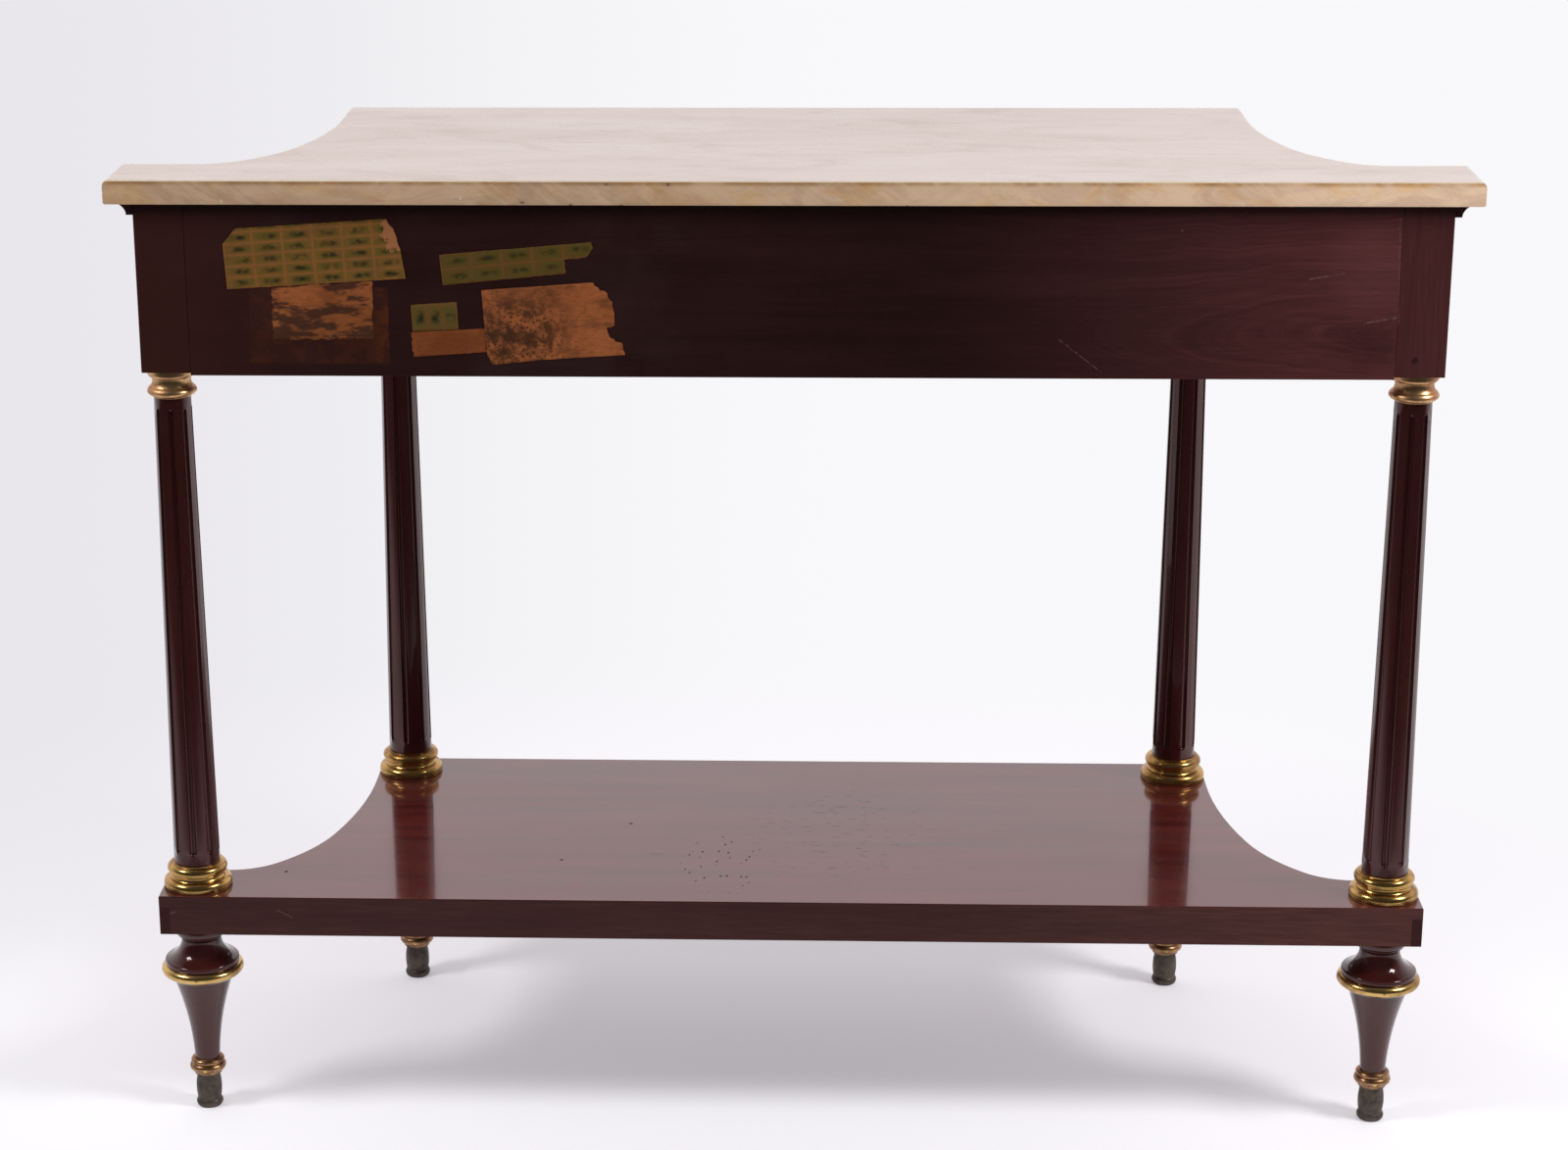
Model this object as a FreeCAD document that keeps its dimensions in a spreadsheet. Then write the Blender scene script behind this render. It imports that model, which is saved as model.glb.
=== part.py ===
import FreeCAD, Part
import math
import os
from types import SimpleNamespace

import Sketcher
from FreeCAD import Placement, Rotation, Vector

# A pier table with concave sides: a marble top on a mahogany frieze with one drawer, four
# fluted columns on a shelf, and four turned feet in brass shoes. The origin is on the floor
# under the middle of the top. The drawer front faces -Y and the straight back faces +Y.
# Lengths are in millimetres and angles in degrees.

SIZES = {
    # heights, from the floor up
    "overall_height": 880,
    "marble_thickness": 21,
    "frieze_height": 150,
    "shelf_thickness": 37,
    "foot_height": 185.5,
    # plan of the frieze, which the top and the shelf follow with their overhangs
    "frieze_back_width": 1123,
    "side_setback": 161,
    "frieze_depth": 348,
    "block_width": 43,
    "block_depth": 47,
    "curve_front_radius": 544,
    "curve_front_angle": 16.5,
    "curve_middle_angle": 44.3,
    # marble top
    "marble_overhang": 23,
    "marble_back_overhang": 10,
    "marble_edge_radius": 6,
    "marble_arris": 1.2,
    # frieze boards and cornice
    "back_panel_thickness": 20,
    "back_panel_drop": 2,
    "side_panel_thickness": 18,
    "top_rail_height": 18,
    "bottom_rail_height": 20,
    "board_arris": 0.5,
    "cornice_projection": 12.4,
    "cornice_foot_projection": 5.8,
    "cornice_height": 11,
    "cornice_fillet": 1.5,
    # drawer bearers
    "guide_thickness": 20,
    "guide_height": 38,
    "bearer_tread": 26,
    # drawer
    "drawer_gap": 1,
    "running_clearance": 0.3,
    "drawer_front_thickness": 22,
    "drawer_side_thickness": 10,
    "drawer_back_thickness": 10,
    "drawer_back_drop": 8,
    "drawer_bottom_thickness": 6,
    "drawer_bottom_rise": 7,
    "groove_depth": 4,
    "groove_clearance": 0.1,
    "moulding_width": 6,
    "moulding_seat": 3,
    "moulding_projection": 2,
    "moulding_round": 1.8,
    # lock, key and escutcheon
    "lock_width": 64,
    "lock_height": 42,
    "lock_depth": 12,
    "lock_wall": 1.5,
    "lock_plate_margin": 11,
    "lock_screw_rise": 29.4,
    "lock_axis_drop": 25,
    "bolt_width": 26,
    "bolt_thickness": 6,
    "bolt_height": 14,
    "bolt_tail_width": 42,
    "bolt_tail_height": 4,
    "bolt_inset": 2,
    "bolt_clearance": 0.1,
    "mortise_clearance": 0.5,
    "mortise_depth": 9,
    "key_shank_radius": 2.5,
    "key_clearance": 0.1,
    "key_bit_reach": 8,
    "key_bit_thickness": 2,
    "key_bit_width": 5,
    "key_bit_clearance": 0.4,
    "key_length": 9,
    "key_collar_radius": 4,
    "key_collar_width": 1.5,
    "key_bow_radius": 5.5,
    "key_bow_width": 2.8,
    "key_bow_arris": 0.8,
    "escutcheon_width": 22,
    "escutcheon_height": 36,
    "escutcheon_thickness": 1.6,
    "escutcheon_round": 0.7,
    "screw_radius": 1.5,
    "screw_head_radius": 3,
    "screw_head_height": 1,
    "screw_slot_width": 0.7,
    "screw_length": 8,
    "screw_clearance": 0.05,
    # columns
    "column_foot_radius": 20.9,
    "column_neck_radius": 16.3,
    "column_seat_step": 1.6,
    "tenon_radius": 9,
    "fit_clearance": 0.05,
    "upper_tenon_length": 30,
    "lower_tenon_length": 18,
    "foot_tenon_length": 18,
    "flute_count": 8,
    "flute_foot_radius": 3.2,
    "flute_neck_radius": 2.5,
    "flute_depth": 2.4,
    "flute_foot_gap": 13,
    "flute_neck_gap": 12,
    # brass capital, from its top down
    "capital_height": 25,
    "capital_collar_radius": 20.8,
    "capital_collar_rim": 3.5,
    "capital_collar_height": 8,
    "capital_throat_radius": 17.2,
    "capital_flare_radius": 18.8,
    "capital_flare_drop": 16,
    "capital_bell_radius": 21.8,
    "capital_bell_drop": 20.2,
    "capital_lip_radius": 17.7,
    "capital_lip_height": 1.2,
    # brass base, from the shelf up
    "base_height": 24,
    "base_plinth_radius": 30.2,
    "base_plinth_height": 0.8,
    "base_lower_radius": 31,
    "base_lower_middle": 3,
    "base_lower_top": 9.5,
    "base_cove_radius": 23.9,
    "base_cove_top": 14.6,
    "base_fillet_radius": 26,
    "base_fillet_top": 15.8,
    "base_upper_radius": 27.2,
    "base_upper_middle": 17.4,
    "base_upper_top": 22.8,
    "base_lip_radius": 22.6,
    # shelf
    "shelf_overhang": 9.5,
    "shelf_top_thickness": 10.5,
    "shelf_arris": 0.8,
    # turned feet, from the shelf down
    "foot_collar_radius": 23,
    "foot_collar_rim": 3,
    "foot_collar_height": 14,
    "foot_collar_foot_radius": 18.4,
    "foot_groove_radius": 17.4,
    "foot_groove_height": 1.4,
    "foot_neck_radius": 18.3,
    "foot_brim_radius": 32.6,
    "foot_brim_drop": 34.6,
    "foot_bun_radius": 33.9,
    "foot_bun_drop": 36.6,
    "foot_bun_foot_radius": 33.4,
    "foot_ring_drop": 40,
    "foot_seat_radius": 32,
    "foot_shoulder_radius": 27.4,
    "foot_shoulder_drop": 53.5,
    "foot_toe_radius": 11.6,
    "foot_taper_hollow": 3.2,
    # brass ring under each bun, and the nails
    "ring_radius": 37.6,
    "ring_height": 10,
    "nail_radius": 0.8,
    "nail_head_radius": 1.8,
    "nail_head_height": 0.5,
    "nail_head_rise": 0.4,
    "nail_length": 8,
    "ring_nail_count": 3,
    "shoe_nail_count": 2,
    # brass shoes, from the floor up
    "shoe_height": 50,
    "shoe_rim_radius": 12.4,
    "shoe_socket_radius": 10.9,
    "shoe_socket_depth": 14,
    "shoe_upper_bead_radius": 15.3,
    "shoe_upper_bead_top": 49.4,
    "shoe_lower_bead_radius": 16.7,
    "shoe_lower_bead_top": 44.4,
    "shoe_lower_bead_foot": 36.8,
    "shoe_waist_radius": 14.4,
    "shoe_fillet_radius": 12.6,
    "shoe_fillet_top": 35.2,
    "shoe_fillet_foot": 33.6,
    "shoe_neck_radius": 10.3,
    "shoe_neck_rise": 31.8,
    "shoe_bulb_radius": 11.8,
    "shoe_ankle_radius": 10.7,
    "shoe_ankle_rise": 7.6,
    "shoe_ball_radius": 12.3,
    "shoe_sole_radius": 10.4,
}

# The bow of an arc is its rise over its chord: a half round, a quarter round, the sweep of the
# feet between neck and brim, and a slight swell.
HALF_ROUND = 0.5
QUARTER_ROUND = 0.207
SWEEP = 0.165
SWELL = 0.12

# How far a cutting outline runs past the piece it trims, and how near counts as the same.
PAST = 2
NEAR = 0.01

doc = FreeCAD.newDocument("PierTable")


class Size:
    """A length or angle that carries its number and the expression that drives it."""

    def __init__(self, number, text):
        self.number = number
        self.text = text

    def __add__(self, other):
        return Size(self.number + number_of(other), f"({self.text} + {text_of(other)})")

    def __radd__(self, other):
        return Size(number_of(other) + self.number, f"({text_of(other)} + {self.text})")

    def __sub__(self, other):
        return Size(self.number - number_of(other), f"({self.text} - {text_of(other)})")

    def __rsub__(self, other):
        return Size(number_of(other) - self.number, f"({text_of(other)} - {self.text})")

    def __mul__(self, other):
        return Size(self.number * number_of(other), f"({self.text} * {text_of(other)})")

    def __rmul__(self, other):
        return Size(number_of(other) * self.number, f"({text_of(other)} * {self.text})")

    def __truediv__(self, other):
        return Size(self.number / number_of(other), f"({self.text} / {text_of(other)})")

    def __neg__(self):
        return Size(-self.number, f"(-1 * {self.text})")


def number_of(value):
    return value.number if isinstance(value, Size) else value


def text_of(value):
    return value.text if isinstance(value, Size) else repr(float(value))


def sine(angle):
    return Size(math.sin(math.radians(number_of(angle))), f"sin({text_of(angle)})")


def cosine(angle):
    return Size(math.cos(math.radians(number_of(angle))), f"cos({text_of(angle)})")


def fill_sizes():
    """Write the driving dimensions into their sheet and return them as sizes."""
    sheet = doc.addObject("Spreadsheet::Sheet", "Sizes")
    for row, (name, value) in enumerate(SIZES.items(), start=1):
        sheet.set(f"A{row}", name)
        sheet.set(f"B{row}", str(value))
        sheet.setAlias(f"B{row}", name)
    return SimpleNamespace(**{name: Size(value, f"Sizes.{name}") for name, value in SIZES.items()})


s = fill_sizes()
worked_sheet = doc.addObject("Spreadsheet::Sheet", "Worked")
worked_names = []


def worked(name, value):
    """Keep a worked-out size under its own name, so that later expressions stay short."""
    worked_names.append(name)
    row = len(worked_names)
    worked_sheet.set(f"A{row}", name)
    worked_sheet.set(f"B{row}", "=" + text_of(value))
    worked_sheet.setAlias(f"B{row}", name)
    return Size(number_of(value), f"Worked.{name}")


# ---------------------------------------------------------------- heights and plan positions

shelf_bottom = s.foot_height
shelf_top = worked("shelf_top", s.foot_height + s.shelf_thickness)
frieze_top = worked("frieze_top", s.overall_height - s.marble_thickness)
frieze_bottom = worked("frieze_bottom", frieze_top - s.frieze_height)
column_height = worked("column_height", frieze_bottom - shelf_top)

half_depth = (s.frieze_depth + s.marble_overhang + s.marble_back_overhang) / 2
back_plane = worked("back_plane", half_depth - s.marble_back_overhang)
front_plane = worked("front_plane", back_plane - s.frieze_depth)
half_back = worked("half_back", s.frieze_back_width / 2)
half_front = worked("half_front", half_back - s.side_setback)
ear_plane = worked("ear_plane", back_plane - s.block_depth)
block_rear = worked("block_rear", front_plane + s.block_depth)
opening_half = worked("opening_half", half_front - s.block_width)

column_places = {
    "back_right": (half_back - s.block_width / 2, back_plane - s.block_depth / 2),
    "back_left": (s.block_width / 2 - half_back, back_plane - s.block_depth / 2),
    "front_right": (half_front - s.block_width / 2, front_plane + s.block_depth / 2),
    "front_left": (s.block_width / 2 - half_front, front_plane + s.block_depth / 2),
}
# How far each column is turned about its own axis: they were glued in by eye.
column_turns = {"back_right": 2, "back_left": -11, "front_right": -3, "front_left": 19}

# ------------------------------------------------- drawer opening, drawer, lock and shoe nails

rail_underside = worked("rail_underside", frieze_top - s.top_rail_height)
bearer_length = worked("bearer_length", back_plane - s.back_panel_thickness - block_rear)
opening_foot = worked("opening_foot", frieze_bottom + s.bottom_rail_height)
drawer_half = worked("drawer_half", opening_half - s.drawer_gap)
drawer_front_foot = worked("drawer_front_foot", opening_foot + s.drawer_gap)
drawer_front_height = worked(
    "drawer_front_height", rail_underside - s.drawer_gap - drawer_front_foot
)
drawer_side_foot = worked("drawer_side_foot", opening_foot + s.running_clearance)
drawer_side_height = worked("drawer_side_height", rail_underside - s.drawer_gap - drawer_side_foot)
drawer_side_start = worked("drawer_side_start", front_plane + s.drawer_front_thickness)
drawer_side_length = worked(
    "drawer_side_length",
    back_plane - s.back_panel_thickness - s.running_clearance - drawer_side_start,
)
lock_plane = worked("lock_plane", drawer_side_start - s.lock_depth)
lock_foot = worked("lock_foot", drawer_front_foot + drawer_front_height - s.lock_height)
key_axis = worked("key_axis", lock_foot + s.lock_height - s.lock_axis_drop)
bolt_plane = worked("bolt_plane", lock_plane + s.bolt_inset + s.bolt_thickness / 2)
shelf_edge_height = worked("shelf_edge_height", s.shelf_thickness - s.shelf_top_thickness)
shoe_nail_rise = worked("shoe_nail_rise", (s.shoe_lower_bead_foot + s.shoe_lower_bead_top) / 2)

# ------------------------------------------------------------------- the concave side curve
# The side leaves the rear corner of the front block, runs back in three arcs that share
# their tangents, and meets the inner corner of the back block along its front face. The
# middle and back radii are the two that close it.

curve_width = half_back - s.block_width - half_front
curve_depth = ear_plane - block_rear
sine_1 = worked("sine_front", sine(s.curve_front_angle))
cosine_1 = worked("cosine_front", cosine(s.curve_front_angle))
sine_2 = worked("sine_middle", sine(s.curve_middle_angle))
cosine_2 = worked("cosine_middle", cosine(s.curve_middle_angle))
width_left = worked("curve_width_left", curve_width - s.curve_front_radius * (1 - cosine_1))
depth_left = worked("curve_depth_left", curve_depth - s.curve_front_radius * sine_1)
closing = worked("closing", (cosine_1 - cosine_2) * (1 - sine_2) - cosine_2 * (sine_2 - sine_1))
middle_radius = worked(
    "curve_middle_radius", (width_left * (1 - sine_2) - depth_left * cosine_2) / closing
)
back_radius = worked(
    "curve_back_radius",
    ((cosine_1 - cosine_2) * depth_left - (sine_2 - sine_1) * width_left) / closing,
)

centre_1_x = worked("front_centre_across", half_front + s.curve_front_radius)
centre_1_y = block_rear
step_1 = s.curve_front_radius - middle_radius
centre_2_x = worked("middle_centre_across", centre_1_x - step_1 * cosine_1)
centre_2_y = worked("middle_centre_along", centre_1_y + step_1 * sine_1)
step_2 = middle_radius - back_radius
centre_3_x = worked("back_centre_across", centre_2_x - step_2 * cosine_2)
centre_3_y = worked("back_centre_along", centre_2_y + step_2 * sine_2)

CURVE_ARCS = (
    (centre_1_x, centre_1_y, s.curve_front_radius, 0, s.curve_front_angle),
    (centre_2_x, centre_2_y, middle_radius, s.curve_front_angle, s.curve_middle_angle),
    (centre_3_x, centre_3_y, back_radius, s.curve_middle_angle, 90),
)


def side_curve(offset):
    """The curve's end points and the points halfway along its arcs, front to back, moved
    outwards by the offset: end, halfway, end, halfway, end, halfway, end."""
    points = [(half_front + offset, block_rear)]
    for centre_x, centre_y, radius, start, end in CURVE_ARCS:
        reach = radius - offset
        for angle in ((start + end) / 2, end):
            points.append((centre_x - reach * cosine(angle), centre_y + reach * sine(angle)))
    return points


def arcs_along(points):
    """Outline steps that follow a side curve's points after the first."""
    return [points[i + 1] + points[i] for i in (1, 3, 5)]


def bowed(steps):
    """Outline steps in which a third value is the bow of the arc that leads to the corner. A
    bow above zero swells to the right of the way the outline runs."""
    outline = []
    for index, step in enumerate(steps):
        if len(step) == 3:
            (x_1, y_1), (x_2, y_2, bow) = steps[index - 1][:2], step
            swell_x, swell_y = bow * (y_2 - y_1), bow * (x_1 - x_2)
            outline.append((x_2, y_2, (x_1 + x_2) / 2 + swell_x, (y_1 + y_2) / 2 + swell_y))
        else:
            outline.append(step)
    return outline


def mirrored(steps):
    """The same outline steps on the other side of the middle plane."""
    return [tuple(-v if i % 2 == 0 else v for i, v in enumerate(step)) for step in steps]


def plan_outline(offset, back_offset):
    """The table's plan, grown by an offset at its front and sides and another at its back."""
    points = side_curve(offset)
    front = front_plane - offset
    ear = ear_plane - offset
    back = back_plane + back_offset
    going_back = [
        (half_front + offset, front),
        points[0],
        *arcs_along(points),
        (half_back + offset, ear),
        (half_back + offset, back),
    ]
    coming_forward = [
        (half_back + offset, back),
        (half_back + offset, ear),
        points[6],
        *arcs_along(points[::-1]),
        (half_front + offset, front),
    ]
    return going_back + mirrored(coming_forward)


# ---------------------------------------------------------------------------- drawing tools


def new_body(label, x=0, y=0, z=0, turn=0):
    """An empty body with its label and its place."""
    body = doc.addObject("PartDesign::Body", label)
    body.Label = label
    body.Placement = Placement(Vector(), Rotation(Vector(0, 0, 1), number_of(turn)))
    for axis, value in (("x", x), ("y", y), ("z", z)):
        body.setExpression(f"Placement.Base.{axis}", text_of(value))
    return body


def new_sketch(body, plane, height):
    """An empty sketch on one of the body's own planes, moved along its normal."""
    sketch = body.newObject("Sketcher::SketchObject", body.Label + "_sketch")
    for feature in body.Origin.OriginFeatures:
        if feature.Role == plane:
            sketch.AttachmentSupport = (feature, [""])
    sketch.MapMode = "FlatFace"
    sketch.setExpression("AttachmentOffset.Base.z", text_of(height))
    return sketch


def pin(rules, drives, geometry, end, place):
    """Add the two dimensions that hold one end of a line or arc at its place."""
    for kind, value in zip(("DistanceX", "DistanceY"), place):
        if isinstance(value, Size):
            drives.append((len(rules), value.text))
        rules.append(Sketcher.Constraint(kind, geometry, end, number_of(value)))


def draw(body, plane, steps, height=0, closed=True):
    """Draw an outline. A step (across, up) is a straight line to that corner; a step of four
    values is an arc to the corner (across, up) through the point given by the other two."""
    sketch = new_sketch(body, plane, height)
    shapes, ends, via_places = [], [], []
    first = 0 if closed else 1
    for index in range(first, len(steps)):
        before, here = (
            Vector(number_of(p[0]), number_of(p[1]), 0) for p in (steps[index - 1], steps[index])
        )
        if len(steps[index]) == 2:
            shapes.append(Part.LineSegment(before, here))
            ends.append((1, 2))
            continue
        via = Vector(number_of(steps[index][2]), number_of(steps[index][3]), 0)
        via_places.append((len(shapes), steps[index][2:]))
        if (via - before).cross(here - via).z > 0:
            shapes.append(Part.ArcOfCircle(before, via, here))
            ends.append((1, 2))
        else:
            shapes.append(Part.ArcOfCircle(here, via, before))
            ends.append((2, 1))
    sketch.addGeometry(shapes, False)
    points = [Part.Point(Vector(number_of(x), number_of(y), 0)) for _, (x, y) in via_places]
    if points:
        sketch.addGeometry(points, True)
    rules, drives = [], []
    count = len(shapes)
    for index, (start, end) in enumerate(ends):
        pin(rules, drives, index, end, steps[index + first][:2])
        if closed or index + 1 < count:
            after = (index + 1) % count
            rules.append(Sketcher.Constraint("Coincident", index, end, after, ends[after][0]))
    if not closed:
        pin(rules, drives, 0, ends[0][0], steps[0][:2])
    for number, (arc, place) in enumerate(via_places):
        pin(rules, drives, count + number, 1, place)
        rules.append(Sketcher.Constraint("PointOnObject", count + number, 1, arc))
    sketch.addConstraint(rules)
    for index, text in drives:
        sketch.setExpression(f"Constraints[{index}]", text)
    return sketch


def draw_circles(body, plane, circles, height=0):
    """Draw circles, each given by its centre and radius."""
    sketch = new_sketch(body, plane, height)
    for index, (across, up, radius) in enumerate(circles):
        centre = Vector(number_of(across), number_of(up), 0)
        sketch.addGeometry(Part.Circle(centre, Vector(0, 0, 1), number_of(radius)), False)
        rules, drives = [], []
        pin(rules, drives, index, 3, (across, up))
        drives.append((len(rules), text_of(radius)))
        rules.append(Sketcher.Constraint("Radius", index, number_of(radius)))
        start = sketch.ConstraintCount
        sketch.addConstraint(rules)
        for number, text in drives:
            sketch.setExpression(f"Constraints[{start + number}]", text)
    return sketch


def rectangle(x_1, x_2, y_1, y_2):
    return [(x_1, y_1), (x_2, y_1), (x_2, y_2), (x_1, y_2)]


def pad(body, sketch, length, midplane=False, back=False):
    """Extrude a sketch along its plane's normal, both ways alike, or against the normal."""
    feature = body.newObject("PartDesign::Pad", body.Label + "_pad")
    feature.Profile = sketch
    feature.Midplane = midplane
    feature.Reversed = back
    feature.setExpression("Length", text_of(length))
    return feature


def pocket(body, sketch, length=None, back=False):
    """Cut a sketch into the body, right through both ways unless a length is given. It cuts
    against the plane's normal, or along it where back is set."""
    feature = body.newObject("PartDesign::Pocket", body.Label + "_pocket")
    feature.Profile = sketch
    if length is None:
        feature.Type = "ThroughAll"
        feature.Midplane = True
    else:
        feature.setExpression("Length", text_of(length))
        feature.Reversed = back
    return feature


def turn_profile(body, steps):
    """Turn a closed profile of (radius, height) steps about the body's upright axis."""
    sketch = draw(body, "XZ_Plane", bowed(steps))
    feature = body.newObject("PartDesign::Revolution", body.Label + "_turning")
    feature.Profile = sketch
    feature.ReferenceAxis = (sketch, ["V_Axis"])
    feature.Angle = 360
    return feature


def around_axis(body, feature, count):
    """Repeat a feature evenly about the body's upright axis."""
    pattern = body.newObject("PartDesign::PolarPattern", body.Label + "_pattern")
    pattern.Originals = [feature]
    for origin_feature in body.Origin.OriginFeatures:
        if origin_feature.Role == "Z_Axis":
            pattern.Axis = (origin_feature, [""])
    pattern.Angle = 360
    pattern.setExpression("Occurrences", text_of(count))
    body.Tip = pattern
    return pattern


def edges_of(feature, wanted):
    """Names of the feature's edges whose middle point meets a condition."""
    doc.recompute()
    names = []
    for number, edge in enumerate(feature.Shape.Edges, start=1):
        middle = edge.valueAt((edge.FirstParameter + edge.LastParameter) / 2)
        if wanted(middle):
            names.append(f"Edge{number}")
    return names


def soften(body, feature, size, edges=None, rounded=False):
    """Chamfer or round some of a feature's edges, or all of them."""
    kind = "Fillet" if rounded else "Chamfer"
    softened = body.newObject(f"PartDesign::{kind}", f"{body.Label}_{kind.lower()}")
    softened.Base = (feature, edges or [])
    softened.UseAllEdges = edges is None
    softened.setExpression("Radius" if rounded else "Size", text_of(size))
    return softened


def board(label, corner, extent, arris=s.board_arris):
    """A straight board from its lowest corner and its extent, with eased edges."""
    body = new_body(label, *corner)
    block = pad(body, draw(body, "XY_Plane", rectangle(0, extent[0], 0, extent[1])), extent[2])
    soften(body, block, arris)
    return body


# -------------------------------------------------------------------------------- marble top


def make_marble_top():
    body = new_body("marble_top", z=frieze_top)
    outline = plan_outline(s.marble_overhang, s.marble_back_overhang)
    slab = pad(body, draw(body, "XY_Plane", outline), s.marble_thickness)
    sawn_back = number_of(back_plane + s.marble_back_overhang) - NEAR
    top = number_of(s.marble_thickness)

    def moulded(middle):
        return abs(middle.z - top) < NEAR and middle.y < sawn_back

    def lower(middle):
        return abs(middle.z) < NEAR and middle.y < sawn_back

    rounded = soften(body, slab, s.marble_edge_radius, edges_of(slab, moulded), rounded=True)
    soften(body, rounded, s.marble_arris, edges_of(rounded, lower))


# ------------------------------------------------------------------------------------ frieze


def make_corner_block(corner, place):
    """A frieze corner block with the socket for the tenon of its column."""
    body = new_body("corner_block_" + corner, *place, frieze_bottom)
    half_width = s.block_width / 2
    half_length = s.block_depth / 2
    section = draw(
        body, "XY_Plane", rectangle(-half_width, half_width, -half_length, half_length)
    )
    block = pad(body, section, s.frieze_height)
    soften(body, block, s.board_arris)
    socket = draw_circles(body, "XY_Plane", [(0, 0, s.tenon_radius + s.fit_clearance)])
    pocket(body, socket, s.upper_tenon_length + s.fit_clearance, back=True)


def make_back_panel():
    board(
        "back_panel",
        (
            s.block_width - half_back,
            back_plane - s.back_panel_thickness,
            frieze_bottom - s.back_panel_drop,
        ),
        (
            2 * (half_back - s.block_width),
            s.back_panel_thickness,
            s.frieze_height + s.back_panel_drop,
        ),
    )


def make_side_panel(name, side):
    """The concave side of the frieze, between its front and back blocks."""
    outer = side_curve(0)
    inner = side_curve(-s.side_panel_thickness)
    # The inner face stops at the back block's side, where the outer curve meets it.
    steps = [outer[0], *arcs_along(outer), inner[6], *arcs_along(inner[::-1])]
    body = new_body("side_panel_" + name, z=frieze_bottom)
    pad(body, draw(body, "XY_Plane", steps if side > 0 else mirrored(steps)), s.frieze_height)


def make_front_rails():
    width = 2 * opening_half
    board(
        "bottom_rail",
        (-opening_half, front_plane, frieze_bottom),
        (width, s.block_depth, s.bottom_rail_height),
    )
    top_rail = board(
        "top_rail",
        (-opening_half, front_plane, rail_underside),
        (width, s.block_depth, s.top_rail_height),
    )
    reach = s.bolt_width / 2 + s.mortise_clearance
    half_thickness = s.bolt_thickness / 2 + s.mortise_clearance
    along = bolt_plane - front_plane
    mouth = rectangle(
        opening_half - reach, opening_half + reach, along - half_thickness, along + half_thickness
    )
    pocket(top_rail, draw(top_rail, "XY_Plane", mouth), s.mortise_depth, back=True)


def cornice_section(inner, direction):
    """The moulding's section from the frieze's face outwards, hanging from its top at zero."""
    top = inner + direction * s.cornice_projection
    foot = inner + direction * s.cornice_foot_projection
    return [
        (inner, 0),
        (top, 0),
        (top, -s.cornice_fillet),
        (foot, s.cornice_fillet - s.cornice_height, direction * SWELL),
        (foot, -s.cornice_height),
        (inner, -s.cornice_height),
    ]


def mitre_cut(body, side, behind):
    """Cut away what lies past the mitre at a front corner, before it or behind it."""
    corner_x, reach = half_front, s.cornice_projection + PAST
    start = (corner_x - PAST, front_plane + PAST)
    end = (corner_x + reach, front_plane - reach)
    third = (end[0], start[1]) if behind else (start[0], end[1])
    steps = [start, end, third]
    pocket(body, draw(body, "XY_Plane", steps if side > 0 else mirrored(steps)))


def make_cornice_front():
    body = new_body("cornice_front", z=frieze_top)
    section = draw(body, "YZ_Plane", bowed(cornice_section(front_plane, -1)))
    pad(body, section, 2 * (half_front + s.cornice_projection), midplane=True)
    for side in (1, -1):
        mitre_cut(body, side, behind=True)


def make_cornice_side(name, side):
    """The moulding along a concave side, round the ear and back to the flat back."""
    body = new_body("cornice_" + name, z=frieze_top)
    start = front_plane - s.cornice_projection - PAST
    curve = side_curve(0)
    path = [(half_front, start), curve[0], *arcs_along(curve), (half_back, ear_plane)]
    path.append((half_back, back_plane))
    steps = bowed(cornice_section(half_front, 1))
    if side < 0:
        path, steps = mirrored(path), mirrored(steps)
    spine = draw(body, "XY_Plane", path, closed=False)
    section = draw(body, "XZ_Plane", steps, height=-start)
    sweep = body.newObject("PartDesign::AdditivePipe", body.Label + "_sweep")
    sweep.Profile = section
    sweep.Spine = spine
    sweep.Transition = "Right corner"
    mitre_cut(body, side, behind=False)


def make_bearer(name, side):
    """The L-shaped runner and guide that carries one side of the drawer."""
    body = new_body("runner_" + name, y=block_rear, z=frieze_bottom)
    tread = opening_half - s.bearer_tread
    outer = opening_half + s.guide_thickness
    guide_top = s.bottom_rail_height + s.guide_height
    steps = [
        (tread, 0),
        (outer, 0),
        (outer, guide_top),
        (opening_half, guide_top),
        (opening_half, s.bottom_rail_height),
        (tread, s.bottom_rail_height),
    ]
    section = draw(body, "XZ_Plane", steps if side > 0 else mirrored(steps))
    soften(body, pad(body, section, bearer_length, back=True), s.board_arris)


def make_kicker(name, side):
    """The board that keeps the open drawer from tipping, under the marble."""
    width = s.bearer_tread + s.guide_thickness
    left = opening_half - s.bearer_tread if side > 0 else -opening_half - s.guide_thickness
    board(
        "kicker_" + name,
        (left, block_rear, rail_underside),
        (width, bearer_length, s.top_rail_height),
    )


# ------------------------------------------------------------------------------------ drawer


def keyhole(body, height):
    """Cut a keyhole through a body: a round hole for the shank and a slot for the bit."""
    pocket(
        body, draw_circles(body, "XZ_Plane", [(0, height, s.key_shank_radius + s.key_clearance)])
    )
    half_slot = s.key_bit_thickness / 2 + s.key_bit_clearance
    slot = rectangle(-half_slot, half_slot, height - s.key_bit_reach - s.key_bit_clearance, height)
    pocket(body, draw(body, "XZ_Plane", slot))


def screw_places():
    """Where the lock's screws go, across and up from the foot of the lock case."""
    across = s.lock_width / 2 + s.lock_plate_margin / 2
    return [(side * across, height) for side in (1, -1) for height in (0, s.lock_screw_rise)]


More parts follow.
